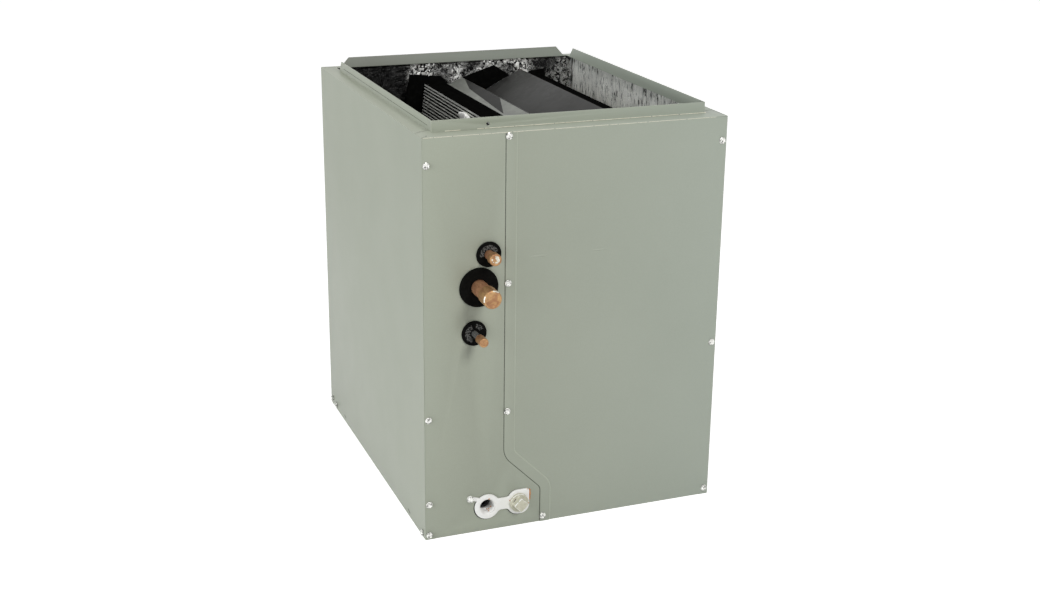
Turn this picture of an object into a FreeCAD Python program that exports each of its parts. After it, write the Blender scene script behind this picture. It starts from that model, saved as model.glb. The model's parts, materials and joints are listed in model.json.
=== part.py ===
import FreeCAD
import Part
import Sketcher
import math
import os
import re

# A cased evaporator coil: a sheet-metal cabinet with an A-shaped coil in it,
# open to the ducts above and below. Millimetres, +Z up. The origin is the
# middle of the return opening at the bottom, and the panels face -Y.

SIZES = {
    # Cabinet
    "casing_width": 444.5,
    "casing_depth": 540,
    "casing_height": 578,
    "sheet_gauge": 0.9,
    "corner_radius": 3,
    "side_lip": 22,
    "front_lip": 28,
    "rear_lip": 13,
    "flange_rise": 15.5,
    "front_return": 15,
    "bottom_lip": 32,
    "ear_depth": 41,
    "left_flange_setback": 49.4,
    "right_flange_setback": 39,
    "flange_end_slope": 15,
    "rear_flange_inset": 21,
    "rail_leg": 22,
    "flange_hole": 5,
    "flange_hole_from_left": 100.8,
    "flange_hole_rise": 6.2,
    # Front panels and the joggled seam between them
    "panel_margin": 0.8,
    "panel_top_gap": 1,
    "lap_gap": 0.1,
    "seam_upper_from_left": 116.5,
    "seam_lower_from_left": 172.5,
    "seam_bend_height": 111.5,
    "seam_upper_radius": 30,
    "seam_lower_radius": 12,
    "strip_width": 15,
    "seam_lap": 9,
    "crease_height": 403,
    "crease_from_seam": 20.2,
    "crease_spacing": 127,
    "crease_left_length": 30,
    "crease_right_length": 24,
    "crease_width": 3,
    # Lines through the panel
    "suction_from_left": 78.3,
    "suction_height": 367.5,
    "suction_diameter": 22.2,
    "suction_reach": 57,
    "suction_end_diameter": 26,
    "suction_end_length": 25,
    "suction_opening": 46,
    "suction_grommet_diameter": 55.5,
    "liquid_offset": 14,
    "liquid_grommet_gap": 1.8,
    "liquid_diameter": 12.7,
    "liquid_reach": 29,
    "liquid_end_diameter": 17,
    "liquid_end_length": 14,
    "service_offset": 6.8,
    "service_grommet_gap": 19.8,
    "service_diameter": 8,
    "service_reach": 42,
    "service_end_diameter": 13,
    "service_end_length": 20,
    "small_opening": 27,
    "small_grommet_diameter": 35.5,
    "grommet_lip": 2.6,
    "grommet_groove_play": 0.1,
    "grommet_fit": 0.2,
    # Drain pan, its ports and plug
    "pan_bottom": 25,
    "pan_wall_height": 37,
    "pan_wall": 3,
    "pan_front": 20,
    "pan_clearance": 0.6,
    "pan_opening_width": 202,
    "pan_opening_inset": 14,
    "pan_corner_radius": 4,
    "drain_height": 38.5,
    "primary_from_left": 91.2,
    "secondary_from_left": 138.3,
    "port_bore": 23.4,
    "port_boss": 30,
    "port_outlet": 17,
    "port_opening_play": 0.5,
    "port_plate": 3,
    "lobe_diameter": 37.6,
    "secondary_lobe_width": 33,
    "secondary_lobe_radius": 16,
    "secondary_corner_radius": 4,
    "neck_height": 18,
    "neck_rise": 1,
    "tab_offset": 25.2,
    "tab_rise": 15,
    "tab_size": 10,
    "tab_corner": 2,
    "tab_thickness": 1.8,
    "plug_collar": 27,
    "plug_collar_length": 4.5,
    "plug_square": 16.5,
    "plug_square_length": 8.5,
    "plug_shank_length": 15,
    "plug_play": 0.25,
    "pan_rail_width": 18,
    "pan_rail_gauge": 1.2,
    # Coil slabs
    "slab_below_top": 29,
    "slab_half_width": 105,
    "slab_foot_gap": 10,
    "coil_side_gap": 5.1,
    "slab_depth": 44,
    "lean": 6,
    "tube_pitch": 25.4,
    "tube_diameter": 9.5,
    "row_inset": 11,
    "ripples_per_pitch": 5,
    "ripple_depth": 1.2,
    "coil_front": 92,
    "coil_behind": 40,
    "end_plate_gauge": 1.2,
    "left_plate_band": 27,
    "right_plate_band": 1,
    "end_plate_lap": 2,
    "end_plate_rise": 14,
    "end_plate_shoulder": 26.4,
    "bend_leg": 5,
    "strip_gauge": 1.2,
    "seat_gap": 0.2,
    "apex_edge_rise": 9,
    "apex_edge_width": 20,
    "apex_valley_drop": 13,
    "apex_crest_rise": 17,
    "apex_foot": 6,
    "delta_plate_drop": 26,
    # Header, distributor and feeders
    "header_setback": 41,
    "header_diameter": 28.6,
    "header_below_service": 40.5,
    "header_above_suction": 24.5,
    "branch_offset": 8,
    "distributor_front": 20,
    "distributor_length": 30,
    "distributor_diameter": 22,
    "feeder_diameter": 6.4,
    "feeder_offset": 5,
    "feeder_plane": 62,
    "feeder_crossing_rise": 9,
    "braze_gap": 0.15,
    # Insulation
    "board_thickness": 12.7,
    "front_board_lap": 8.5,
    "front_board_inset": 17.5,
    "front_board_drop": 2.1,
    "front_board_foot": 1,
    # Screws and the clip
    "screw_head": 8.2,
    "screw_head_height": 3.2,
    "left_screw_inset": 5.5,
    "right_screw_inset": 7,
    "seam_screw_inset": 3.8,
    "left_screw_drop": 37.5,
    "left_screw_middle": 182.5,
    "left_screw_low": 54.5,
    "left_screw_foot": 7.5,
    "right_screw_drop": 34.5,
    "right_screw_middle": 244.5,
    "right_screw_foot": 10.5,
    "seam_screw_drop": 5.5,
    "seam_screw_upper": 369,
    "seam_screw_lower": 180.5,
    "seam_screw_foot": 9.5,
    "side_screw_front": 15,
    "side_screw_front_height": 5.5,
    "side_screw_inner": 39,
    "side_screw_inner_height": 7.5,
    "side_screw_rear": 13,
    "side_screw_rear_height": 9.5,
    "clip_width": 20,
    "clip_height": 14,
    "clip_depth": 7,
    "clip_from_front": 277,
    "clip_below_top": 6,
}

# Places that follow from the sizes, each as a formula.
PLACES = {
    "left": "-casing_width / 2",
    "right": "casing_width / 2",
    "front": "-casing_depth / 2",
    "rear": "casing_depth / 2",
    "lip_bottom": "casing_height - sheet_gauge",
    "flange_top": "casing_height + flange_rise",
    "left_flange": "left + side_lip",
    "right_flange": "right - side_lip",
    "front_flange": "front + front_lip",
    "rear_flange": "rear - rear_lip",
    "panel_back": "front + sheet_gauge",
    "return_back": "front + 2 * sheet_gauge",
    "panel_left": "left + panel_margin",
    "panel_right": "right - panel_margin",
    "panel_top": "casing_height - panel_top_gap",
    "seam_upper": "left + seam_upper_from_left",
    "seam_lower": "left + seam_lower_from_left",
    "seam_low_bend": "seam_bend_height - (seam_lower_from_left - seam_upper_from_left)",
    "suction_x": "left + suction_from_left",
    "liquid_x": "suction_x + liquid_offset",
    "service_x": "suction_x - service_offset",
    "grommet_reach": "(suction_grommet_diameter + small_grommet_diameter) / 2",
    "liquid_height": "suction_height + sqrt((grommet_reach + liquid_grommet_gap)^2"
                     " - liquid_offset^2)",
    "service_height": "suction_height - sqrt((grommet_reach + service_grommet_gap)^2"
                      " - service_offset^2)",
    "primary_x": "left + primary_from_left",
    "secondary_x": "left + secondary_from_left",
    "board_left": "left + sheet_gauge + board_thickness",
    "board_right": "right - sheet_gauge - board_thickness",
    "board_rear": "rear - sheet_gauge - board_thickness",
    "pan_left": "board_left + pan_clearance",
    "pan_right": "board_right - pan_clearance",
    "pan_front_y": "front + pan_front",
    "pan_rear": "board_rear - pan_clearance",
    "pan_floor": "pan_bottom + pan_wall",
    "slab_top": "casing_height - slab_below_top",
    "slab_reach": "(slab_top - pan_floor) * tan(lean)",
    "coil_axis": "board_right - coil_side_gap - slab_reach - slab_half_width",
    "slab_left": "coil_axis - slab_half_width",
    "coil_front_y": "front + coil_front",
    "coil_rear_y": "rear - coil_behind",
    "opening_left": "coil_axis - pan_opening_width / 2",
    "opening_right": "coil_axis + pan_opening_width / 2",
    "opening_front": "coil_front_y + pan_opening_inset",
    "opening_rear": "coil_rear_y - pan_opening_inset",
    "tubes_high": "4 * floor((slab_top - pan_floor - slab_foot_gap)"
                  " / (4 * tube_pitch * cos(lean)))",
    "slab_length": "tube_pitch * tubes_high",
    "header_y": "front + header_setback",
    "header_bottom": "service_height - header_below_service",
    "header_top": "suction_height + header_above_suction",
    "crease_left_x": "seam_upper + strip_width + crease_from_seam",
    "crease_right_x": "crease_left_x + crease_spacing",
}

doc = FreeCAD.newDocument("cased_evaporator_coil")
sheet = doc.addObject("Spreadsheet::Sheet", "Sizes")
for row, (alias, size) in enumerate(SIZES.items(), start=1):
    sheet.set("A%d" % row, alias.replace("_", " "))
    sheet.set("B%d" % row, str(size))
    sheet.setAlias("B%d" % row, alias)
doc.recompute()


def formula(text):
    """Write a formula of sizes and places in the sheet's own terms."""

    def spell(match):
        word = match.group(0)
        if word in SIZES:
            return "Sizes." + word
        if word in PLACES:
            return "(" + formula(PLACES[word]) + ")"
        return word

    return re.sub(r"[a-z][a-z_]*", spell, str(text))


def number(text):
    """The value of a formula now."""
    return float(sheet.evalExpression(formula(text)))


def bind(thing, path, text):
    thing.setExpression(path, formula(text))


def new_body(name):
    body = doc.addObject("PartDesign::Body", name)
    body.Label = name
    return body


def set_place(thing, x="0", y="0", z="0", turn=None):
    """Put a body at a place, turned about Y by an angle if one is given."""
    if turn is not None:
        thing.Placement = FreeCAD.Placement(
            FreeCAD.Vector(0, 0, 0), FreeCAD.Rotation(FreeCAD.Vector(0, 1, 0), 1))
        bind(thing, "Placement.Rotation.Angle", turn)
    bind(thing, "Placement.Base.x", x)
    bind(thing, "Placement.Base.y", y)
    bind(thing, "Placement.Base.z", z)


def corner_arc(before, corner, after, radius):
    """Where a rounded corner's arc starts and ends, and its middle point."""
    into = (before - corner).normalize()
    away = (after - corner).normalize()
    half = into.getAngle(away) / 2
    reach = radius / math.tan(half)
    middle_way = (into + away).normalize()
    centre = corner + middle_way * (radius / math.sin(half))
    return corner + into * reach, centre - middle_way * radius, corner + away * reach


def fix_point(sketch, geometry, vertex, across, up):
    """Hold a vertex at two formulas from the sketch's origin."""
    for kind, text in (("DistanceX", across), ("DistanceY", up)):
        held = sketch.addConstraint(
            Sketcher.Constraint(kind, -1, 1, geometry, vertex, number(text)))
        bind(sketch, "Constraints[%d]" % held, text)


def draw_outline(sketch, corners):
    """A closed outline. Each corner is (across, up) or (across, up, radius)."""
    points = [FreeCAD.Vector(number(c[0]), number(c[1]), 0) for c in corners]
    count = len(points)
    starts, ends, arcs = [], [], []
    for index, corner in enumerate(corners):
        if len(corner) == 3:
            arc = corner_arc(points[index - 1], points[index],
                             points[(index + 1) % count], number(corner[2]))
            ends.append(arc[0])
            starts.append(arc[2])
            arcs.append(arc)
        else:
            ends.append(points[index])
            starts.append(points[index])
            arcs.append(None)
    lines = []
    for index in range(count):
        following = (index + 1) % count
        line = Part.LineSegment(starts[index], ends[following])
        lines.append(sketch.addGeometry(line, False))
    for index, corner in enumerate(corners):
        line_in, line_out = lines[index - 1], lines[index]
        if arcs[index] is None:
            sketch.addConstraint(Sketcher.Constraint("Coincident", line_in, 2, line_out, 1))
            fix_point(sketch, line_out, 1, corner[0], corner[1])
            continue
        arc = sketch.addGeometry(Part.Arc(*arcs[index]), False)
        first, last = (1, 2)
        if not starts_at(sketch, arc, arcs[index][0]):
            first, last = (2, 1)
        sketch.addConstraint(Sketcher.Constraint("Tangent", line_in, 2, arc, first))
        sketch.addConstraint(Sketcher.Constraint("Tangent", arc, last, line_out, 1))
        held = sketch.addConstraint(Sketcher.Constraint("Radius", arc, number(corner[2])))
        bind(sketch, "Constraints[%d]" % held, corner[2])
        sharp = sketch.addGeometry(Part.Point(points[index]), True)
        fix_point(sketch, sharp, 1, corner[0], corner[1])
        sketch.addConstraint(Sketcher.Constraint("PointOnObject", sharp, 1, line_in))
        sketch.addConstraint(Sketcher.Constraint("PointOnObject", sharp, 1, line_out))


def starts_at(sketch, arc, point):
    return sketch.getPoint(arc, 1).distanceToPoint(point) < 1e-6


def draw_circle(sketch, across, up, diameter):
    centre = FreeCAD.Vector(number(across), number(up), 0)
    circle = sketch.addGeometry(
        Part.Circle(centre, FreeCAD.Vector(0, 0, 1), number(diameter) / 2), False)
    fix_point(sketch, circle, 3, across, up)
    held = sketch.addConstraint(Sketcher.Constraint("Diameter", circle, number(diameter)))
    bind(sketch, "Constraints[%d]" % held, diameter)


def new_sketch(body, name, plane, level, outlines=(), circles=()):
    """A sketch on one of the body's planes, shifted to a level on its axis."""
    sketch = body.newObject("Sketcher::SketchObject", name)
    base = next(f for f in body.Origin.OriginFeatures if f.Role == plane + "_Plane")
    sketch.AttachmentSupport = (base, [""])
    sketch.MapMode = "FlatFace"
    sign = "-" if plane == "XZ" else ""
    bind(sketch, "AttachmentOffset.Base.z", "%s(%s)" % (sign, level))
    for corners in outlines:
        draw_outline(sketch, corners)
    for across, up, diameter in circles:
        draw_circle(sketch, across, up, diameter)
    return sketch


def add_pad(body, name, plane, low, high, outlines=(), circles=()):
    """Material between two levels along the plane's axis."""
    level = high if plane == "XZ" else low
    sketch = new_sketch(body, name + "_outline", plane, level, outlines, circles)
    pad = body.newObject("PartDesign::Pad", name)
    pad.Profile = sketch
    bind(pad, "Length", "(%s) - (%s)" % (high, low))
    return pad


def add_pocket(body, name, plane, low, high, outlines=(), circles=()):
    """A cut between two levels along the plane's axis."""
    level = low if plane == "XZ" else high
    sketch = new_sketch(body, name + "_outline", plane, level, outlines, circles)
    pocket = body.newObject("PartDesign::Pocket", name)
    pocket.Profile = sketch
    bind(pocket, "Length", "(%s) - (%s)" % (high, low))
    return pocket


def add_revolution(body, name, corners):
    """A ring turned about the body's own Y axis: corners are (along Y, radius)."""
    sketch = new_sketch(body, name + "_outline", "YZ", "0", [corners])
    ring = body.newObject("PartDesign::Revolution", name)
    ring.Profile = sketch
    ring.ReferenceAxis = (sketch, ["H_Axis"])
    ring.Angle = 360
    return ring


def rectangle(left, low, right, high, radius=None):
    corners = [(left, low), (right, low), (right, high), (left, high)]
    if radius is None:
        return corners
    return [corner + (radius,) for corner in corners]


def new_shape(name, shape):
    """A piece whose form comes from a formula along its length."""
    piece = doc.addObject("Part::Feature", name)
    piece.Label = name
    piece.Shape = shape
    return piece


def make_casing():
    """One sheet folded round both sides and the back, with lips and duct flanges."""
    body = new_body("casing_wrapper")
    plan = [
        ("left + front_return", "panel_back"), ("left", "panel_back"),
        ("left", "rear", "corner_radius"), ("right", "rear", "corner_radius"),
        ("right", "panel_back"), ("right - front_return", "panel_back"),
        ("right - front_return", "return_back"), ("right - sheet_gauge", "return_back"),
        ("right - sheet_gauge", "rear - sheet_gauge", "corner_radius - sheet_gauge"),
        ("left + sheet_gauge", "rear - sheet_gauge", "corner_radius - sheet_gauge"),
        ("left + sheet_gauge", "return_back"), ("left + front_return", "return_back"),
    ]
    add_pad(body, "walls", "XY", "0", "lip_bottom", [plan])
    wall_top = [
        ("left", "panel_back"), ("left", "rear", "corner_radius"),
        ("right", "rear", "corner_radius"), ("right", "panel_back"),
        ("right - sheet_gauge", "panel_back"), ("right - sheet_gauge", "front + ear_depth"),
        ("right_flange - sheet_gauge", "front + ear_depth"),
        ("right_flange - sheet_gauge", "rear_flange - sheet_gauge"),
        ("left_flange + sheet_gauge", "rear_flange - sheet_gauge"),
        ("left_flange + sheet_gauge", "front + ear_depth"),
        ("left + sheet_gauge", "front + ear_depth"), ("left + sheet_gauge", "panel_back"),
    ]
    add_pad(body, "top_lips", "XY", "lip_bottom", "casing_height", [wall_top])
    foot = [
        ("left", "front + bottom_lip"), ("left", "rear", "corner_radius"),
        ("right", "rear", "corner_radius"), ("right", "front + bottom_lip"),
        ("right - bottom_lip", "front + bottom_lip"), ("right - bottom_lip", "rear - bottom_lip"),
        ("left + bottom_lip", "rear - bottom_lip"), ("left + bottom_lip", "front + bottom_lip"),
    ]
    add_pad(body, "bottom_lips", "XY", "0", "sheet_gauge", [foot])
    for side, low, setback in (
            ("left", "left_flange", "left_flange_setback"),
            ("right", "right_flange - sheet_gauge", "right_flange_setback")):
        shape = [
            ("front + ear_depth", "lip_bottom"),
            ("rear - %s + flange_end_slope" % setback, "lip_bottom"),
            ("rear - %s" % setback, "flange_top"), ("front + ear_depth", "flange_top")]
        add_pad(body, side + "_duct_flange", "YZ", low, "%s + sheet_gauge" % low, [shape])
    rear_shape = [
        ("left_flange + rear_flange_inset - flange_end_slope", "lip_bottom"),
        ("right_flange - rear_flange_inset + flange_end_slope", "lip_bottom"),
        ("right_flange - rear_flange_inset", "flange_top"),
        ("left_flange + rear_flange_inset", "flange_top")]
    add_pad(body, "rear_duct_flange", "XZ", "rear_flange - sheet_gauge", "rear_flange",
            [rear_shape])


def make_front_rails():
    """The folded rails that close the front at the top and the bottom."""
    top = new_body("front_top_rail")
    add_pad(top, "leg", "XZ", "panel_back", "return_back", [rectangle(
        "left + front_return", "lip_bottom - rail_leg", "right - front_return", "lip_bottom")])
    lip = [
        ("left + sheet_gauge", "panel_back"), ("right - sheet_gauge", "panel_back"),
        ("right - sheet_gauge", "front + ear_depth"), ("right_flange", "front + ear_depth"),
        ("right_flange - sheet_gauge", "front_flange + sheet_gauge"),
        ("left_flange + sheet_gauge", "front_flange + sheet_gauge"),
        ("left_flange", "front + ear_depth"), ("left + sheet_gauge", "front + ear_depth"),
    ]
    add_pad(top, "lip", "XY", "lip_bottom", "casing_height", [lip])
    add_pad(top, "duct_flange", "XZ", "front_flange", "front_flange + sheet_gauge",
            [rectangle("left_flange", "lip_bottom", "right_flange", "flange_top")],
            [("left + flange_hole_from_left", "casing_height + flange_hole_rise", "flange_hole")])
    for side, low in (("left", "left_flange"), ("right", "right_flange - sheet_gauge")):
        add_pad(top, side + "_flange_end", "YZ", low, "%s + sheet_gauge" % low, [rectangle(
            "front_flange", "lip_bottom", "front + ear_depth", "flange_top")])
    low = new_body("front_bottom_rail")
    add_pad(low, "leg", "XZ", "panel_back", "return_back", [rectangle(
        "left + front_return", "sheet_gauge", "right - front_return", "rail_leg")])
    add_pad(low, "lip", "XY", "0", "sheet_gauge", [rectangle(
        "left + front_return", "panel_back", "right - front_return", "front + bottom_lip")])


def seam_corners(shift):
    """The curved seam from bottom to top, moved to the right by a shift."""
    turn = "(%s) * tan(22.5)" % shift
    return [
        ("seam_lower + " + shift, "panel_margin"),
        ("seam_lower + " + shift, "seam_low_bend + " + turn, "seam_lower_radius + " + shift),
        ("seam_upper + " + shift, "seam_bend_height + " + turn, "seam_upper_radius - " + shift),
        ("seam_upper + " + shift, "panel_top"),
    ]


def make_line_panel():
    """The flat panel that the lines and the drain pass through."""
    body = new_body("line_panel")
    outline = [("panel_left", "panel_margin")] + seam_corners("seam_lap")
    outline.append(("panel_left", "panel_top"))
    openings = [
        ("suction_x", "suction_height", "suction_opening"),
        ("liquid_x", "liquid_height", "small_opening"),
        ("service_x", "service_height", "small_opening"),
        ("primary_x", "drain_height", "port_boss + 2 * port_opening_play"),
        ("secondary_x", "drain_height", "port_boss + 2 * port_opening_play"),
    ]
    add_pad(body, "sheet", "XZ", "front", "panel_back", [outline], openings)


def make_access_panel():
    """The larger panel, whose left edge is joggled out over the line panel."""
    body = new_body("access_panel")
    inner = seam_corners("strip_width")
    main = inner + [("panel_right", "panel_top"), ("panel_right", "panel_margin")]
    add_pad(body, "sheet", "XZ", "front", "panel_back", [main])
    web = inner + seam_corners("strip_width + sheet_gauge")[::-1]
    add_pad(body, "joggle", "XZ", "front - lap_gap", "front", [web])
    outer = seam_corners("0")
    strip = outer + seam_corners("strip_width + sheet_gauge")[::-1]
    add_pad(body, "raised_strip", "XZ", "front - lap_gap - sheet_gauge", "front - lap_gap",
            [strip])
    for side in ("left", "right"):
        start = "crease_%s_x" % side
        crease = rectangle(start, "crease_height - crease_width / 2",
                           "%s + crease_%s_length" % (start, side),
                           "crease_height + crease_width / 2")
        add_pad(body, side + "_crease", "XZ", "front - sheet_gauge / 2", "front", [crease])


def make_grommet(name, x, z, opening, outside, tube):
    """A rubber ring whose neck fills the panel's hole and lets a tube through."""
    body = new_body(name)
    bore = "(%s) / 2 + grommet_fit" % tube
    neck = "(%s) / 2 - grommet_fit" % opening
    rim = "(%s) / 2" % outside
    add_revolution(body, "ring", [
        ("-grommet_lip - grommet_groove_play", bore),
        ("-grommet_lip - grommet_groove_play", rim),
        ("-grommet_groove_play", rim), ("-grommet_groove_play", neck),
        ("sheet_gauge + grommet_lip", neck), ("sheet_gauge + grommet_lip", bore)])
    set_place(body, x, "front", z)


def make_stub(name, x, z, diameter, reach, end_diameter, end_length, inner_end):
    """A copper tube that comes out through the panel and widens at its end."""
    body = new_body(name)
    add_revolution(body, "tube", [
        ("-(%s)" % reach, "0"), ("-(%s)" % reach, "(%s) / 2" % end_diameter),
        ("(%s) - (%s)" % (end_length, reach), "(%s) / 2" % end_diameter),
        ("(%s) - (%s)" % (end_length, reach), "(%s) / 2" % diameter),
        (inner_end, "(%s) / 2" % diameter), (inner_end, "0")])
    set_place(body, x, "front", z)
    return body


def make_saddle(body, x):
    """Shape the tube's inner end to sit against the round header."""
    add_pocket(body, "saddle", "XY", "-header_diameter", "header_diameter", (),
               [("suction_x - (%s)" % x, "header_setback", "header_diameter + 2 * braze_gap")])


def make_lines():
    """Suction, liquid and service lines with their grommets."""
    make_grommet("suction_grommet", "suction_x", "suction_height", "suction_opening",
                 "suction_grommet_diameter", "suction_diameter")
    make_grommet("liquid_grommet", "liquid_x", "liquid_height", "small_opening",
                 "small_grommet_diameter", "liquid_diameter")
    make_grommet("service_grommet", "service_x", "service_height", "small_opening",
                 "small_grommet_diameter", "service_diameter")
    suction = make_stub("suction_stub", "suction_x", "suction_height", "suction_diameter",
                        "suction_reach", "suction_end_diameter", "suction_end_length",
                        "header_setback")
    make_saddle(suction, "suction_x")
    make_stub("liquid_stub", "liquid_x", "liquid_height", "liquid_diameter", "liquid_reach",
              "liquid_end_diameter", "liquid_end_length", "distributor_front")
    service = make_stub("service_stub", "service_x", "service_height", "service_diameter",
                        "service_reach", "service_end_diameter", "service_end_length",
                        "header_setback")
    make_saddle(service, "service_x")


def make_pan():
    """The moulded ring trough under the coil, with a hole for each port."""
    body = new_body("drain_pan")
    add_pad(body, "block", "XY", "pan_bottom", "pan_bottom + pan_wall_height", [
        rectangle("pan_left", "pan_front_y", "pan_right", "pan_rear", "pan_corner_radius")])
    inside = rectangle("pan_left + pan_wall", "pan_front_y + pan_wall", "pan_right - pan_wall",
                       "pan_rear - pan_wall", "pan_corner_radius - pan_wall")
    island = rectangle("opening_left - pan_wall", "opening_front - pan_wall",
                       "opening_right + pan_wall", "opening_rear + pan_wall")
    add_pocket(body, "trough", "XY", "pan_floor", "pan_bottom + pan_wall_height",
               [inside, island])
    hole = rectangle("opening_left", "opening_front", "opening_right", "opening_rear")
    add_pocket(body, "air_opening", "XY", "pan_bottom", "pan_bottom + pan_wall_height", [hole])
    add_pocket(body, "port_holes", "XZ", "pan_front_y", "pan_front_y + pan_wall", (), [
        ("primary_x", "drain_height", "port_outlet"),
        ("secondary_x", "drain_height", "port_outlet")])


def make_port_plate():
    """The two-lobed fitting on the panel that carries both threaded ports."""
    body = new_body("drain_port_plate")
    face = "front - port_plate"
    add_pad(body, "primary_lobe", "XZ", face, "front", (),
            [("primary_x", "drain_height", "lobe_diameter")])
    lobe = rectangle("secondary_x - secondary_lobe_width / 2", "drain_height - lobe_diameter / 2",
                     "secondary_x + secondary_lobe_width / 2", "drain_height + lobe_diameter / 2")
    radii = ("secondary_lobe_radius", "secondary_corner_radius",
             "secondary_corner_radius", "secondary_lobe_radius")
    add_pad(body, "secondary_lobe", "XZ", face, "front",
            [[corner + (radius,) for corner, radius in zip(lobe, radii)]])
    add_pad(body, "neck", "XZ", face, "front", [rectangle(
        "primary_x", "drain_height + neck_rise - neck_height / 2",
        "secondary_x", "drain_height + neck_rise + neck_height / 2")])
    add_pad(body, "tab", "XZ", "front - tab_thickness", "front", [rectangle(
        "primary_x - tab_offset - tab_size / 2", "drain_height + tab_rise - tab_size / 2",
        "primary_x", "drain_height + tab_rise + tab_size / 2", "tab_corner")])
    bosses = [("primary_x", "drain_height", "port_boss"),
              ("secondary_x", "drain_height", "port_boss")]
    add_pad(body, "bosses", "XZ", "front", "pan_front_y", (), bosses)
    bores = [("primary_x", "drain_height", "port_bore"),
             ("secondary_x", "drain_height", "port_bore")]
    add_pocket(body, "bores", "XZ", face, "pan_front_y", (), bores)


def make_plug():
    """The square-headed plug in the second port."""
    body = new_body("drain_plug")
    shank = "port_bore / 2 - plug_play"
    add_revolution(body, "turned", [
        ("-plug_collar_length", "0"), ("-plug_collar_length", "plug_collar / 2"),
        ("-seat_gap", "plug_collar / 2"), ("-seat_gap", shank),
        ("plug_shank_length", shank), ("plug_shank_length", "0")])
    point = "plug_square / sqrt(2)"
    add_pad(body, "square_head", "XZ", "-plug_collar_length - plug_square_length",
            "-plug_collar_length", [[("0", "-" + point), (point, "0"), ("0", point),
                                     ("-" + point, "0")]])
    set_place(body, "secondary_x", "front - port_plate", "drain_height")


def make_pan_rails():
    """Two channels on the bottom lips that carry the pan."""
    for side, sign, start in (("left", "", "board_left + seat_gap"),
                              ("right", "-", "board_right - seat_gap")):
        body = new_body(side + "_pan_rail")
        section = [
            ("0", "0"), ("%span_rail_width" % sign, "0"), ("%span_rail_width" % sign, "pan_rail_gauge"),
            ("%span_rail_gauge" % sign, "pan_rail_gauge"),
            ("%span_rail_gauge" % sign, "pan_bottom - sheet_gauge - pan_rail_gauge"),
            ("%span_rail_width" % sign, "pan_bottom - sheet_gauge - pan_rail_gauge"),
            ("%span_rail_width" % sign, "pan_bottom - sheet_gauge"), ("0", "pan_bottom - sheet_gauge"),
        ]
        add_pad(body, "channel", "XZ", "front + bottom_lip", "board_rear - pan_clearance",
                [section])
        set_place(body, start, "0", "sheet_gauge")


# The slabs lean together at the top. Each is drawn in its own frame: its origin
# is the slab's outer top edge, X runs into the slab and Z up the slope.

def mirrored(sign, corners):
    return [("%s(%s)" % (sign, corner[0]),) + tuple(corner[1:]) for corner in corners]


def slab_place(side):
    """Where a slab's own frame sits, and how far it is turned."""
    if side == "left":
        return "slab_left", "lean"
    return "2 * coil_axis - slab_left", "-lean"


def slab_placement(side):
    x, turn = slab_place(side)
    return FreeCAD.Placement(
        FreeCAD.Vector(number(x), 0, number("slab_top")),
        FreeCAD.Rotation(FreeCAD.Vector(0, 1, 0), number(turn)))


def make_fin_pack(side, sign):
    """A pack of fins whose edges ripple down the outer face."""
    ripples = round(number("tubes_high * ripples_per_pitch"))
    step = number("slab_length") / ripples
    depth = number("slab_depth")
    dip = number("ripple_depth")
    outer = []
    for index in range(ripples):
        level = -index * step
        outer += [(0, level), (dip, level - step / 2)]
    outer.append((0, -ripples * step))
    inner = [(depth, 0), (depth, -ripples * step)]
    start = number("coil_front_y + end_plate_gauge")
    length = number("coil_rear_y - end_plate_gauge") - start
    flip = -1 if sign == "-" else 1
    points = [FreeCAD.Vector(flip * u, start, v) for u, v in outer + inner[::-1]]
    face = Part.Face(Part.makePolygon(points + [points[0]]))
    piece = new_shape(side + "_fin_pack", face.extrude(FreeCAD.Vector(0, length, 0)))
    piece.Placement = slab_placement(side)


def floor_level(across):
    """How far down the slope a plate reaches the pan's floor."""
    return "(pan_floor + seat_gap - slab_top + (%s) * sin(lean)) / cos(lean)" % across


def make_end_plates(side, sign):
    """The plates at both ends of a slab, which stand on the pan's floor."""
    x, turn = slab_place(side)
    outer = "-%s_plate_band" % side
    inner = "slab_depth + end_plate_lap"
    outline = mirrored(sign, [
        (outer, floor_level(outer)), (inner, floor_level(inner)),
        (inner, "0"), ("end_plate_shoulder", "end_plate_rise"),
        (outer, "end_plate_rise")])
    ends = (("front", "coil_front_y"), ("rear", "coil_rear_y - end_plate_gauge"))
    for end, low in ends:
        body = new_body("%s_%s_tube_sheet" % (side, end))
        add_pad(body, "plate", "XZ", low, "%s + end_plate_gauge" % low, [outline])
        hem_low = low if end == "rear" else "%s - bend_leg" % low
        hem = mirrored(sign, rectangle(
            outer, floor_level(outer), outer + " + end_plate_gauge", "0"))
        add_pad(body, "hem", "XZ", hem_low, "%s + end_plate_gauge + bend_leg" % hem_low, [hem])
        set_place(body, x, "0", "slab_top", turn)


def make_top_strip(side, sign):
    """The dark strip that closes a slab's top end."""
    x, turn = slab_place(side)
    body = new_body(side + "_top_strip")
    section = mirrored(sign, rectangle(
        "0", "seat_gap", "slab_depth", "seat_gap + strip_gauge"))
    add_pad(body, "strip", "XZ", "coil_front_y + end_plate_gauge + seat_gap",
            "coil_rear_y - end_plate_gauge - seat_gap", [section])
    set_place(body, x, "0", "slab_top", turn)


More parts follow.
